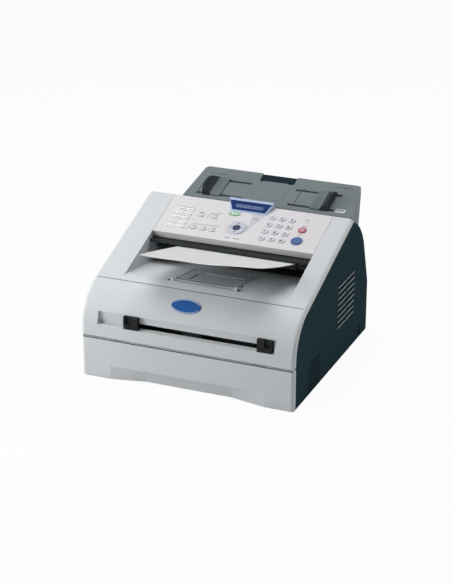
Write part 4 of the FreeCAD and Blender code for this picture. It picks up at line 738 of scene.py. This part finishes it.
def add_object(
    name: str, mesh: bpy.types.Mesh, finish: Finishes, body: str
) -> bpy.types.Object:
    """Closes a mesh's seams, turns its faces outwards and puts it on a body.

    Args:
        name: name of the piece.
        mesh: the mesh, in metres in the shared frame.
        finish: its finish.
        body: the body that it rides on.

    Returns:
        The new object.
    """
    work = bmesh.new()
    work.from_mesh(mesh)
    bmesh.ops.remove_doubles(work, verts=work.verts, dist=MERGE_DISTANCE)
    bmesh.ops.recalc_face_normals(work, faces=work.faces)
    work.to_mesh(mesh)
    work.free()
    mesh.shade_smooth()
    mesh.set_sharp_from_angle(angle=SHARP_ANGLE)
    mesh.materials.clear()
    mesh.materials.append(finish.value.make())
    made = bpy.data.objects.new(name, mesh)
    bpy.context.scene.collection.objects.link(made)
    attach(made, body)
    LOG.info("%s: %d faces on %s", name, len(mesh.polygons), body)
    return made


def grid_mesh(name: str, points: np.ndarray, wrap: bool = True) -> bpy.types.Mesh:
    """A mesh of four-sided faces over a grid of points, or over several such grids.

    Args:
        name: name of the mesh.
        points: array by copy (optional), row and column, with x, y, z last, in metres.
        wrap: whether the last column joins the first.

    Returns:
        The mesh.
    """
    copies, rows, columns = points.reshape(-1, *points.shape[-3:]).shape[:3]
    index = np.arange(rows * columns).reshape(rows, columns)
    if wrap:
        index = np.concatenate([index, index[:, :1]], axis=1)
    corners = [index[:-1, :-1], index[:-1, 1:], index[1:, 1:], index[1:, :-1]]
    quads = np.stack(corners, axis=-1).reshape(-1, 4)
    starts = np.arange(copies)[:, None, None] * rows * columns
    mesh = bpy.data.meshes.new(name)
    mesh.from_pydata(points.reshape(-1, 3).tolist(), [], (starts + quads).reshape(-1, 4).tolist())
    return mesh


def add_surface(
    name: str, place: Place, points: np.ndarray, finish: Finishes, body: str
) -> None:
    """Lays a closed grid of plane points on its plane and puts it on a body.

    Args:
        name: name of the piece.
        place: the plane that it lies on.
        points: grid of u, v, w in millimetres.
        finish: its finish.
        body: the body that it rides on.
    """
    add_object(name, grid_mesh(name, place.value.place(points)), finish, body)


@dataclass
class CadDress:
    """Gives each of the frame's own solids its finish."""

    special: dict[str, Finishes]

    def dress(self) -> None:
        """Puts on each solid its own finish, or else the first one that is listed for its slot."""
        usual: dict[str, Finishes] = {}
        for finish in Finishes:
            usual.setdefault(finish.value.slot, finish)
        for name, solid in frame["nodes"].items():
            for slot in solid.material_slots:
                base = slot.material.name.split(".")[0]
                slot.material = self.special.get(name, usual[base]).value.make()
        LOG.info("dressed %d solids", len(frame["nodes"]))


@dataclass
class KeyLegends:
    """Figures and plain marks on the keys."""

    key_top: float = 1.8
    columns: Triple = (52.0, 69.75, 87.5)
    row_start: float = 18.6
    row_pitch: float = 18.2
    figures: tuple[str, ...] = ("*", "0", "#", "7", "8", "9", "4", "5", "6", "1", "2", "3")
    figure_size: float = 7.8
    figure_weight: float = 0.16
    figure_depth: float = 0.05
    figure_lift: float = 0.03
    touch_columns: Pair = (-112.5, -96.0)
    touch_start: float = 18.2
    touch_pitch: float = 11.5
    touch_rows: int = 5
    touch_bar: Quad = (2.2, -0.5, 3.0, 0.62)
    touch_dot: Quad = (-4.6, -0.5, 0.9, 1.0)
    bar_growth: float = 0.5
    bar_kinds: int = 3
    ring_centre: Pair = (2.0, 35.0)
    arrow_count: int = 4
    arrow_start: float = 10.1
    arrow_length: float = 2.4
    arrow_half: float = 2.1
    arrow_taper: float = 0.92
    arrow_steps: int = 5
    dot_circle: float = 18.6
    dot_radius: float = 0.8
    dot_count: int = 20
    loop_steps: int = 36
    wire: float = 0.35
    stop_centre: Pair = (113.0, 53.0)
    stop_radius: float = 3.1
    stop_dot: float = 1.1
    stop_dot_rise: float = 0.07
    start_centre: Pair = (113.0, 24.5)
    diamond_half: float = 3.4
    mode_centre: Pair = (-15.5, 70.4)
    mode_bars: tuple[Quad, ...] = ((-3.0, 0.0, 1.8, 2.1), (3.2, 0.0, 2.6, 0.7))

    def build(self) -> None:
        """Builds the marks of all keys."""
        for number, figure in enumerate(self.figures):
            row, column = divmod(number, len(self.columns))
            self.figure(figure, (self.columns[column], self.row_start + self.row_pitch * row))
        self.touch_marks()
        self.ring_marks()
        self.round_key_marks()

    def figure(self, text: str, centre: Pair) -> None:
        """Sets one figure in the middle of its key's top.

        Args:
            text: the figure.
            centre: place of the key, u and v.
        """
        label = {"*": "star", "#": "hash"}.get(text, text)
        curve = bpy.data.curves.new(f"figure_{label}", "FONT")
        curve.body = text
        curve.size = self.figure_size
        curve.extrude = self.figure_depth
        curve.offset = self.figure_weight
        curve.align_x = "CENTER"
        curve.resolution_u = 4
        holder = bpy.data.objects.new(f"figure_{label}_text", curve)
        bpy.context.scene.collection.objects.link(holder)
        bpy.context.view_layer.update()
        mesh = bpy.data.meshes.new_from_object(holder.evaluated_get(bpy.context.evaluated_depsgraph_get()))
        bpy.data.objects.remove(holder)
        points = np.empty(len(mesh.vertices) * 3)
        mesh.vertices.foreach_get("co", points)
        points = points.reshape(-1, 3)
        middle = (points.min(axis=0) + points.max(axis=0)) / 2.0
        points = points - middle + np.array([*centre, self.key_top + self.figure_lift])
        mesh.vertices.foreach_set("co", Place.PANEL.value.place(points).astype(np.float32).ravel())
        add_object(f"figure_{label}", mesh, Finishes.DARK_INK, f"key_{label}_cap")

    def touch_marks(self) -> None:
        """A dot and a bar on each one-touch key, the bars of three lengths in turn."""
        across, along = np.meshgrid(
            self.touch_columns, self.touch_start + self.touch_pitch * np.arange(self.touch_rows)
        )
        zero = np.zeros(across.size)
        kind = np.arange(across.size) % self.bar_kinds
        centres = np.stack([across.ravel(), along.ravel(), zero, zero], axis=-1)
        growth = np.stack([zero, zero, self.bar_growth * kind, zero], axis=-1)
        bars = np.concatenate([centres + self.touch_bar + growth, centres + self.touch_dot])
        marks = plates(bars, self.key_top, PRINT_RISE)
        add_surface("one_touch_marks", Place.PANEL, marks, Finishes.DARK_INK, "one_touch_keys_cap")

    def ring_marks(self) -> None:
        """Four arrow heads on the ring, each a band from a wide base to a point, and a circle of dots."""
        reach = np.linspace(0.0, 1.0, self.arrow_steps)[:, None]
        heads = []
        for out in circle(self.arrow_count)[:, :2]:
            side = np.array([-out[1], out[0]])
            middle = np.asarray(self.ring_centre) + out * (self.arrow_start + self.arrow_length * reach)
            half = self.arrow_half * (1.0 - self.arrow_taper * reach) * side
            heads.append(band(middle + half, middle - half, self.key_top, THIN_RISE))
        add_surface("ring_arrows", Place.PANEL, np.stack(heads), Finishes.DARK_INK, "navigation_ring_cap")
        spots = circle(self.dot_count, math.pi / self.dot_count)[:, :2] * self.dot_circle + self.ring_centre
        dots = [(*spot, self.dot_radius, self.dot_radius) for spot in spots]
        marks = plates(dots, 0.0, THIN_RISE, ROUND)
        add_surface("ring_dots", Place.PANEL, marks, Finishes.DARK_INK, "panel")

    def round_key_marks(self) -> None:
        """A ring and dot on the stop key, a diamond on the start key and two bars on the mode key.

        The diamond is a circle whose cosine and sine are each times their own size.
        """
        loop = circle(self.loop_steps)
        ring = tube(loop * self.stop_radius + (*self.stop_centre, self.key_top), self.wire, True)
        add_surface("stop_ring", Place.PANEL, ring, Finishes.PALE_INK, "stop_key_cap")
        bar = (*self.stop_centre, self.stop_dot, self.stop_dot)
        dot = plates([bar], self.key_top, self.stop_dot_rise, ROUND)
        add_surface("stop_dot", Place.PANEL, dot, Finishes.PALE_INK, "stop_key_cap")
        path = loop * np.abs(loop) * self.diamond_half + (*self.start_centre, self.key_top)
        diamond = tube(path, self.wire, True)
        add_surface("start_diamond", Place.PANEL, diamond, Finishes.BLUE_INK, "start_key_cap")
        bars = np.array(self.mode_bars) + (*self.mode_centre, 0.0, 0.0)
        marks = plates(bars, self.key_top, PRINT_RISE)
        add_surface("mode_marks", Place.PANEL, marks, Finishes.PALE_INK, "mode_key_cap")


@dataclass
class PanelPrint:
    """Lines, label bars and the grey sweep printed on the control panel."""

    line_width: float = 0.7
    sweep_rise: float = 0.04
    labels: tuple[Quad, ...] = (
        (-71.5, 62.0, 5.2, 0.75),
        (-46.5, 60.8, 6.0, 0.55),
        (-70.0, 26.6, 4.6, 0.55),
        (-53.5, 26.6, 4.4, 0.55),
        (-37.0, 26.6, 5.0, 0.55),
        (25.0, 65.0, 5.6, 0.65),
        (-5.5, 9.0, 5.2, 0.65),
        (11.0, 9.0, 6.0, 0.65),
        (112.0, 80.5, 4.6, 0.5),
        (113.0, 75.0, 3.0, 0.4),
        (113.0, 64.5, 4.8, 0.6),
        (112.0, 41.0, 4.6, 0.6),
    )
    brackets: tuple[tuple[Pair, ...], ...] = (
        ((-58.6, 48.5), (-57.6, 59.0), (-54.5, 63.6), (-50.0, 65.4), (-35.0, 67.0)),
        ((-81.5, 14.5), (-80.2, 25.0), (-76.5, 30.0), (-71.0, 31.6), (-29.0, 33.4)),
        ((-120.5, 70.8), (-104.6, 70.8)),
        ((-103.6, 70.8), (-88.0, 70.8)),
    )
    sweep_left: tuple[Pair, Pair] = ((14.0, 77.6), (21.0, 62.0))
    sweep_right: tuple[Pair, Pair] = ((38.5, 77.6), (30.0, 52.0))
    sweep_end: Pair = (18.6, 33.0)

    def build(self) -> None:
        """Builds the bars, the brackets and the sweep."""
        bars = plates(self.labels, 0.0, PRINT_RISE)
        add_surface("panel_labels", Place.PANEL, bars, Finishes.DARK_INK, "panel")
        lines = strokes([(path, self.line_width) for path in self.brackets])
        add_surface("panel_brackets", Place.PANEL, lines, Finishes.DARK_INK, "panel")
        sweep = band(self.curve(self.sweep_left), self.curve(self.sweep_right), 0.0, self.sweep_rise)
        add_surface("panel_sweep", Place.PANEL, sweep, Finishes.GREY_INK, "panel")

    def curve(self, side: tuple[Pair, Pair]) -> np.ndarray:
        """One edge of the sweep, from the display's corner to the ring.

        Start, pull and end count by the square of what is left, twice that times the step, and the
        square of the step.

        Args:
            side: the curve's start and the point that it is pulled to.

        Returns:
            Points u, v along it.
        """
        step = np.linspace(0.0, 1.0, LINE_STEPS)[:, None]
        start, pull = np.asarray(side)
        end = np.asarray(self.sweep_end)
        return (1 - step) ** 2 * start + 2 * step * (1 - step) * pull + step**2 * end


@dataclass
class DisplayTrim:
    """The liquid-crystal film on the display window, with rows of plain dashes."""

    half_width: float = 25.5
    low: float = 5.0
    high: float = 11.0
    film_rise: float = 0.08
    dash_inset: float = 1.25
    dash_half_height: float = 0.42
    dash_rise: float = 0.04
    dashes: tuple[Pair, ...] = (
        (-21.5, 2.2), (-15.6, 2.9), (-8.0, 2.4), (-1.5, 3.1), (6.4, 1.9), (11.8, 2.6), (18.5, 2.2)
    )

    def build(self) -> None:
        """Builds the film and its dashes."""
        middle = (self.low + self.high) / 2.0
        bar = (0.0, middle, self.half_width, (self.high - self.low) / 2.0)
        film = plates([bar], 0.0, self.film_rise, SQUARE)
        add_surface("display_film", Place.DISPLAY, film, Finishes.FILM, "panel")
        rows = (self.low + self.dash_inset, self.high - self.dash_inset)
        bars = [(across, row, half, self.dash_half_height) for row in rows for across, half in self.dashes]
        dashes = plates(bars, self.film_rise, self.dash_rise)
        add_surface("display_dashes", Place.DISPLAY, dashes, Finishes.DISPLAY_INK, "panel")


@dataclass
class BadgeTrim:
    """The raised rim of the blank badge."""

    half_width: float = 24.4
    half_height: float = 11.3
    rim: float = 0.85
    steps: int = 72

    def build(self) -> None:
        """The rim is a round rod along an ellipse."""
        path = circle(self.steps) * (self.half_width, self.half_height, 1.0)
        add_surface("badge_rim", Place.BADGE, tube(path, self.rim, True), Finishes.RIM, "front_door")


@dataclass
class FlapTrim:
    """Dark lines of painted shade along the output flap's edges and slot, its pivot discs and dark plates
    of painted shade in the openings beside its hinge ears.
    """

    lines: tuple[Line, ...] = (
        (((-31.0, 10.0), (-31.0, 48.0)), 3.0),
        (((-51.0, 4.0), (-51.0, 84.0)), 1.6),
        (((-51.0, 3.0), (51.0, 3.0)), 2.2),
    )
    rail_places: tuple[float, ...] = (-18.0, -6.0, 6.0, 18.0, 30.0, 42.0)
    rail: Triple = (58.0, 4.4, 0.9)
    rail_rise: float = 0.8
    disc_centres: tuple[Pair, Pair] = ((-62.0, 34.0), (62.0, 34.0))
    disc_profile: tuple[Pair, ...] = ((0.0, -0.3), (3.6, -0.3), (3.6, 0.7), (3.0, 1.1), (0.0, 1.1))
    gaps: tuple[Quad, ...] = (
        (-61.5, 9.0, 2.8, 4.6),
        (61.5, 9.0, 2.8, 4.6),
        (57.0, 34.0, 2.2, 4.0),
        (-57.0, 31.0, 1.2, 3.0),
    )

    def build(self) -> None:
        """Builds the painted shade lines, the stepped rail, the discs and the painted shade beside the
        ears.
        """
        # Painted shade: black lines along the flap's left and front edges and its slot stand for the shade
        # there.
        add_surface("flap_shade_lines", Place.FLAP, strokes(self.lines), Finishes.BLACK, "flap")
        rails = plates([(across, *self.rail) for across in self.rail_places], 0.0, self.rail_rise)
        add_surface("flap_rails", Place.FLAP, rails, Finishes.PALE, "flap")
        discs = np.stack([turned(centre, self.disc_profile) for centre in self.disc_centres])
        add_surface("pivot_discs", Place.RECESS, discs, Finishes.PALE, "machine")
        # Painted shade: dark plates beside the hinge ears stand for the shade in the openings there.
        gaps = plates(self.gaps, 0.0, PRINT_RISE)
        add_surface("ear_gap_shade", Place.RECESS, gaps, Finishes.BLACK, "machine")


@dataclass
class SeamTrim:
    """Painted shadow lines in the front's seams, and a pale lip under each second side-vent slot as a
    painted highlight of the slots' lit lower edges.
    """

    top_seam: Line = (((-181.0, -131.4), (181.0, -131.4)), 1.3)
    cassette_seam_shadow: Line = (((-184.0, 70.9), (184.0, 70.9)), 1.6)
    cassette_face: float = 1.0
    vent_front: float = 18.0
    vent_bottom: float = 65.0
    vent_length: float = 37.0
    vent_pitch: float = 5.2
    vent_column: float = 42.0
    vent_rows: int = 15
    highlight_drop: float = 1.0
    highlight_halves: Pair = (20.3, 0.8)
    highlight_rise: float = 0.25

    def build(self) -> None:
        """Builds the painted shadows in the seams under the recess and over the cassette, and a pale lip, a
        painted highlight, under every second slot.
        """
        # Painted shadow: dark lines stand for the shade in the seams under the recess and over the
        # cassette.
        add_surface("top_seam", Place.PANEL, stroke(*self.top_seam), Finishes.SEAM, "machine")
        shadow_line = stroke(*self.cassette_seam_shadow, self.cassette_face)
        add_surface("cassette_seam_shadow", Place.FRONT, shadow_line, Finishes.BLACK, "cassette")
        # Painted highlight: a low pale lip under every second vent slot stands for the slot's lit lower
        # edge.
        half = self.vent_length / 2.0
        bars = [
            (self.vent_front + half + along, self.vent_bottom - self.highlight_drop + up, *self.highlight_halves)
            for up in np.arange(0, self.vent_rows, 2) * self.vent_pitch
            for along in (0.0, self.vent_column)
        ]
        lip_highlights = plates(bars, 0.0, self.highlight_rise)
        add_surface("vent_lip_highlights", Place.SIDE, lip_highlights, Finishes.FLAP, "machine")


@dataclass
class TrayTrim:
    """The pocket's floor, dark as painted shade, dark lines of painted shade at the ends of the guide
    tracks, moulded ridges and the small paper mark on the document tray.
    """

    pocket: Quad = (0.0, 82.4, 31.8, 10.4)
    pocket_level: float = -1.6
    pocket_power: float = 24.0
    ridges: tuple[Quad, ...] = ((-111.5, 76.0, 17.0, 0.7), (119.5, 81.5, 17.0, 0.7))
    ridge_rise: float = 0.8
    # Painted shade: black strokes where the guide tracks end stand for the shade in the track slots.
    track_slot_shade: tuple[Line, ...] = (
        (((-126.0, 8.0), (-126.0, 58.0)), 1.4),
        (((51.0, 17.2), (51.0, 54.6)), 1.2),
        (((52.0, 61.6), (58.0, 62.6)), 1.2),
    )
    mark: tuple[Line, ...] = (
        (((128.0, 12.0), (143.0, 12.0), (143.0, 19.6)), 2.4),
        (((128.0, 17.6), (138.0, 17.6), (138.0, 21.0)), 1.2),
    )

    def build(self) -> None:
        """Builds the pocket's floor of painted shade, the ridges, the painted shade at the ends of the
        guide tracks and the mark.
        """
        # Painted shade: a dark plate on the pocket's floor stands for the shade in the pocket.
        floor = plates([self.pocket], self.pocket_level, THIN_RISE, self.pocket_power)
        add_surface("tray_pocket_shade", Place.TRAY, floor, Finishes.POCKET, "machine")
        ridges = plates(self.ridges, 0.0, self.ridge_rise)
        add_surface("tray_ridges", Place.TRAY, ridges, Finishes.TRAY, "machine")
        # Painted shade in the ends of the guide tracks' slots.
        add_surface("track_slot_shade", Place.TRAY, strokes(self.track_slot_shade), Finishes.BLACK, "machine")
        add_surface("tray_mark", Place.TRAY, strokes(self.mark), Finishes.PALE_INK, "machine")


@dataclass
class FeedGuideTrim:
    """Finger ridges on the two manual-feed guides."""

    centres: Pair = (-98.0, 135.0)
    shifts: Triple = (-6.0, -2.5, 1.0)
    ridge: Triple = (100.0, 0.8, 3.4)
    rise: float = 0.7

    def build(self) -> None:
        """Three low ridges on each guide's lower front face."""
        for side, centre in zip(("left", "right"), self.centres):
            ridges = plates([(centre + shift, *self.ridge) for shift in self.shifts], 0.0, self.rise)
            add_surface(f"feed_guide_ridges_{side}", Place.FRONT, ridges, Finishes.BLACK, f"manual_{side}")


@dataclass
class RearTrim:
    """Contacts in the rear sockets, crosses in the screw heads and ribs on the rear door."""

    screw_across: float = 169.5
    screw_heights: Pair = (13.0, 83.0)
    screw_face: float = 1.6
    cross_halves: Pair = (2.4, 0.45)
    inlet_centre: Pair = (-140.0, 26.0)
    inlet_depth: float = 19.0
    blades: tuple[Quad, ...] = ((-7.0, -2.0, 1.0, 2.0), (0.0, 2.0, 1.0, 2.0), (7.0, -2.0, 1.0, 2.0))
    blade_length: float = 13.0
    jack_centres: Pair = (131.0, 149.0)
    wire_shifts: Quad = (-1.8, -0.6, 0.6, 1.8)
    wire_start: Pair = (30.2, -2.0)
    wire_end: Pair = (25.0, -12.0)
    wire_steps: int = 8
    wire_radius: float = 0.25
    rib_half: float = 112.0
    rib_half_height: float = 1.0
    rib_heights: Quad = (24.0, 34.0, 44.0, 54.0)
    rib_rise: float = 0.9

    def build(self) -> None:
        """Builds the crosses, the contacts and the ribs."""
        bars = [
            (across, height, *size)
            for across in (-self.screw_across, self.screw_across)
            for height in self.screw_heights
            for size in (self.cross_halves, self.cross_halves[::-1])
        ]
        crosses = plates(bars, self.screw_face, THIN_RISE)
        add_surface("screw_crosses", Place.REAR, crosses, Finishes.BLACK, "machine")
        blades = np.array(self.blades) + (*self.inlet_centre, 0.0, 0.0)
        standing = plates(blades, -self.inlet_depth, self.blade_length)
        add_surface("inlet_blades", Place.REAR, standing, Finishes.BRASS, "machine")
        wires = [
            np.linspace((across, *self.wire_start), (across, *self.wire_end), self.wire_steps)
            for across in np.add.outer(self.jack_centres, self.wire_shifts).ravel()
        ]
        rods = np.stack([tube(wire, self.wire_radius) for wire in wires])
        add_surface("jack_wires", Place.REAR, rods, Finishes.BRASS, "machine")
        bars = [(0.0, height, self.rib_half, self.rib_half_height) for height in self.rib_heights]
        ribs = plates(bars, 0.0, self.rib_rise, SQUARE)
        add_surface("door_ribs", Place.DOOR, ribs, Finishes.DARK, "back_door")


@dataclass
class TonerTrim:
    """The bow handle, grip ribs and drive gear of the toner cartridge behind the front cover."""

    height: float = 93.0
    handle_half: float = 42.0
    handle_reach: float = 11.0
    handle_sink: float = 1.0
    handle_radius: float = 2.6
    handle_power: float = 6.0
    handle_steps: int = 41
    rib_places: tuple[float, ...] = (-96.0, -88.0, -80.0, 80.0, 88.0, 96.0)
    rib_halves: Pair = (0.9, 9.0)
    rib_rise: float = 1.4
    gear_centre: Pair = (-78.0, 93.0)
    gear_radius: float = 11.0
    tooth_depth: float = 1.3
    tooth_slope: float = 2.2
    tooth_steps: int = 16
    teeth: int = 22
    gear_profile: tuple[Triple, ...] = (
        (0.0, -0.5, 0.0), (1.0, -0.5, 1.0), (1.0, 5.0, 1.0), (0.8, 5.0, 0.0), (0.74, 3.6, 0.0),
        (0.4, 3.6, 0.0), (0.36, 6.0, 0.0), (0.16, 6.0, 0.0), (0.14, 4.0, 0.0), (0.0, 4.0, 0.0),
    )

    def build(self) -> None:
        """Builds the handle, which is a round rod along half a superellipse, the ribs and the gear."""
        reach, out = rounded(np.linspace(0.0, math.pi, self.handle_steps), self.handle_power)
        height = np.full_like(reach, self.height)
        outward = self.handle_reach * out - self.handle_sink
        bow = np.stack([self.handle_half * reach, height, outward], axis=-1)
        handle = tube(bow, self.handle_radius)
        add_surface("toner_handle", Place.TONER, handle, Finishes.KEY_GREEN, "machine")
        bars = [(across, self.height, *self.rib_halves) for across in self.rib_places]
        ribs = plates(bars, 0.0, self.rib_rise)
        add_surface("toner_ribs", Place.TONER, ribs, Finishes.BLACK, "machine")
        self.gear()

    def gear(self) -> None:
        """A toothed disc with a hub: its outline's radius steps with a clipped sine of the angle.

        Each row of the profile is a share of the radius, a height and the share of the teeth that it has.
        """
        angle = round_angles(self.tooth_steps * self.teeth)
        step = np.clip(self.tooth_slope * np.sin(self.teeth * angle), -1.0, 1.0)
        tooth = step * self.tooth_depth / 2.0
        profile = np.array(self.gear_profile)
        radius = profile[:, :1] * self.gear_radius + profile[:, 2:] * tooth
        along = self.gear_centre[0] + radius * np.cos(angle)
        up = self.gear_centre[1] + radius * np.sin(angle)
        points = np.stack([along, up, np.broadcast_to(profile[:, 1:2], along.shape)], axis=-1)
        add_surface("toner_gear", Place.TONER_END, points, Finishes.GEAR, "machine")


@dataclass
class PrintedPage:
    """The printed page on its way out of the exit."""

    width: float = 210.0
    centre: float = 18.5
    rear: Pair = (9.9, 175.6)
    shelf: Pair = (-22.1, 184.2)
    front: Pair = (-172.0, 227.5)
    corner_rise: float = 4.5
    sag: float = 4.0
    wave_height: float = 0.5
    wave_across: float = 7.0
    wave_along: float = 4.0
    steps: int = 61
    thickness: float = 0.12

    def build(self) -> None:
        """Builds the page and lets it stand for its plain solid.

        The page's middle line is the parabola through its rear, shelf and front heights. Towards the front
        the sheet also twists, sags in the middle and waves a little, all growing with the square of the
        distance.
        """
        across = np.linspace(-1.0, 1.0, self.steps)[None, :]
        along = np.linspace(0.0, 1.0, self.steps)[:, None]
        run = self.front[0] - self.rear[0]
        climb = self.front[1] - self.rear[1]
        bend = (self.shelf[0] - self.rear[0]) / run
        rise = self.shelf[1] - (self.rear[1] + climb * bend)
        middle = self.rear[1] + climb * along + rise * along * (1.0 - along) / (bend * (1.0 - bend))
        free = np.clip((along - bend) / (1.0 - bend), 0.0, 1.0)
        twist = self.corner_rise * across * free**2
        dip = self.sag * (across**2 - 1.0) * free**2
        wave = self.wave_height * np.sin(self.wave_across * across + self.wave_along * along) * free**2
        x = self.centre + self.width / 2.0 * across
        y = self.rear[0] + run * along
        points = np.stack(np.broadcast_arrays(x, y, middle + twist + dip + wave), axis=-1) * MM
        made = add_object("page_sheet", grid_mesh("page_sheet", points, False), Finishes.PAPER, "page")
        walls = made.modifiers.new("thickness", "SOLIDIFY")
        walls.thickness = self.thickness * MM
        walls.offset = 0.0
        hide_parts("printed_page")


@dataclass
class Studio:
    """A pale sweep of floor, soft lamps, a white surround and the camera."""

    target: Triple = (-8.6, 2.0, 104.6)
    azimuth: float = 22.75
    elevation: float = 22.48
    distance: float = 2926.3
    lens: float = 106.57
    sensor: float = 36.0
    floor_reach: float = 4.0
    floor_steps: int = 9
    floor_colour: Quad = (0.86, 0.86, 0.87, 1.0)
    floor_white: float = 0.95
    white: Quad = (1.0, 1.0, 1.0, 1.0)
    ambient: float = 0.02
    lamps: tuple[tuple[str, Triple, float, float], ...] = (
        ("key_lamp", (-1.1, -0.95, 0.72), 0.95, 14.2),
        ("top_lamp", (-0.2, 0.2, 2.6), 2.0, 42.0),
        ("fill_lamp", (2.3, 1.0, 1.0), 1.6, 17.0),
    )

    def build(self) -> None:
        """Sets the stage."""
        scene = bpy.context.scene
        scene.view_settings.view_transform = "Standard"
        self.floor()
        self.surround()
        for lamp in self.lamps:
            self.lamp(*lamp)
        self.camera()

    def white_rays(self, graph: Graph) -> Wire:
        """One for rays from the camera and for rays seen in gloss or glass."""
        seen = graph.node("ShaderNodeLightPath", output="Is Camera Ray")
        glossy = graph.node("ShaderNodeLightPath", output="Is Glossy Ray")
        through = graph.node("ShaderNodeLightPath", output="Is Transmission Ray")
        return seen.math("MAXIMUM", seen.math("MAXIMUM", seen, glossy), through)

    def floor(self) -> None:
        """A flat floor, nearly white to the camera, which keeps the machine's shadow."""
        reach = np.linspace(-self.floor_reach, self.floor_reach, self.floor_steps)
        x, y = np.meshgrid(reach, reach)
        mesh = grid_mesh("floor", np.stack([x, y, np.zeros_like(x)], axis=-1), False)
        material = bpy.data.materials.new("studio_floor")
        material.use_nodes = True
        graph = Graph(material.node_tree)
        matt = graph.node("ShaderNodeBsdfDiffuse", {}, {"Color": self.floor_colour})
        glow = graph.node("ShaderNodeEmission", {}, {"Color": self.white, "Strength": 1.0})
        share = self.floor_white * self.white_rays(graph)
        mixed = graph.node("ShaderNodeMixShader", {}, {0: share, 1: matt, 2: glow})
        graph.node("ShaderNodeOutputMaterial", {}, {"Surface": mixed})
        mesh.materials.append(material)
        floor = bpy.data.objects.new("floor", mesh)
        bpy.context.scene.collection.objects.link(floor)

    def surround(self) -> None:
        """White where it is seen, soft grey light elsewhere."""
        world = bpy.data.worlds.new("studio")
        world.use_nodes = True
        graph = Graph(world.node_tree)
        white = self.white_rays(graph)
        strength = white + self.ambient * (1.0 - white)
        light = graph.node("ShaderNodeBackground", {}, {"Color": self.white, "Strength": strength})
        graph.node("ShaderNodeOutputWorld", {}, {"Surface": light})
        bpy.context.scene.world = world

    def lamp(self, name: str, place: Triple, size: float, power: float) -> None:
        """A square soft lamp that looks at the machine.

        Args:
            name: name of the lamp.
            place: its place in metres.
            size: side of its face in metres.
            power: its power in watts.
        """
        data = bpy.data.lights.new(name, "AREA")
        data.size = size
        data.energy = power
        lamp = bpy.data.objects.new(name, data)
        lamp.location = place
        aim = np.asarray(self.target) * MM - np.asarray(place)
        lamp.rotation_euler = self.looking(aim)
        bpy.context.scene.collection.objects.link(lamp)

    @staticmethod
    def looking(aim: np.ndarray) -> Triple:
        """Angles that turn a lamp or camera, level, to look along a direction."""
        flat = math.hypot(aim[0], aim[1])
        return (math.atan2(flat, -aim[2]), 0.0, math.atan2(-aim[0], aim[1]))

    def camera(self) -> None:
        """Stands the camera at the photograph's viewing angle."""
        turn = math.radians(self.azimuth)
        lift = math.radians(self.elevation)
        away = np.array(
            [math.sin(turn) * math.cos(lift), -math.cos(turn) * math.cos(lift), math.sin(lift)]
        )
        data = bpy.data.cameras.new("camera")
        data.lens = self.lens
        data.sensor_width = self.sensor
        data.sensor_fit = "AUTO"
        camera = bpy.data.objects.new("camera", data)
        camera.location = (np.asarray(self.target) + self.distance * away) * MM
        camera.rotation_euler = self.looking(-away)
        bpy.context.scene.collection.objects.link(camera)
        bpy.context.scene.camera = camera


def main() -> None:
    """Builds the sub-assemblies in order."""
    logging.basicConfig(level=logging.INFO, format="%(name)s %(message)s")
    special = {
        # Painted shade: the scanner frame's shelf is dark in place of the exit slot's shade.
        "scanner_frame": Finishes.SHELF,
        "navigation_ring": Finishes.KEY_RING,
        "ok_key": Finishes.KEY_NAVY,
        # Painted shade: the document guides' fins are dark in place of their shade.
        "document_guide_left": Finishes.GUIDE,
        "document_guide_right": Finishes.GUIDE,
    }
    CadDress(special).dress()
    for assembly in (
        PrintedPage(),
        KeyLegends(),
        PanelPrint(),
        DisplayTrim(),
        BadgeTrim(),
        FlapTrim(),
        SeamTrim(),
        TrayTrim(),
        FeedGuideTrim(),
        RearTrim(),
        TonerTrim(),
        Studio(),
    ):
        assembly.build()


if __name__ == "__main__":
    main()
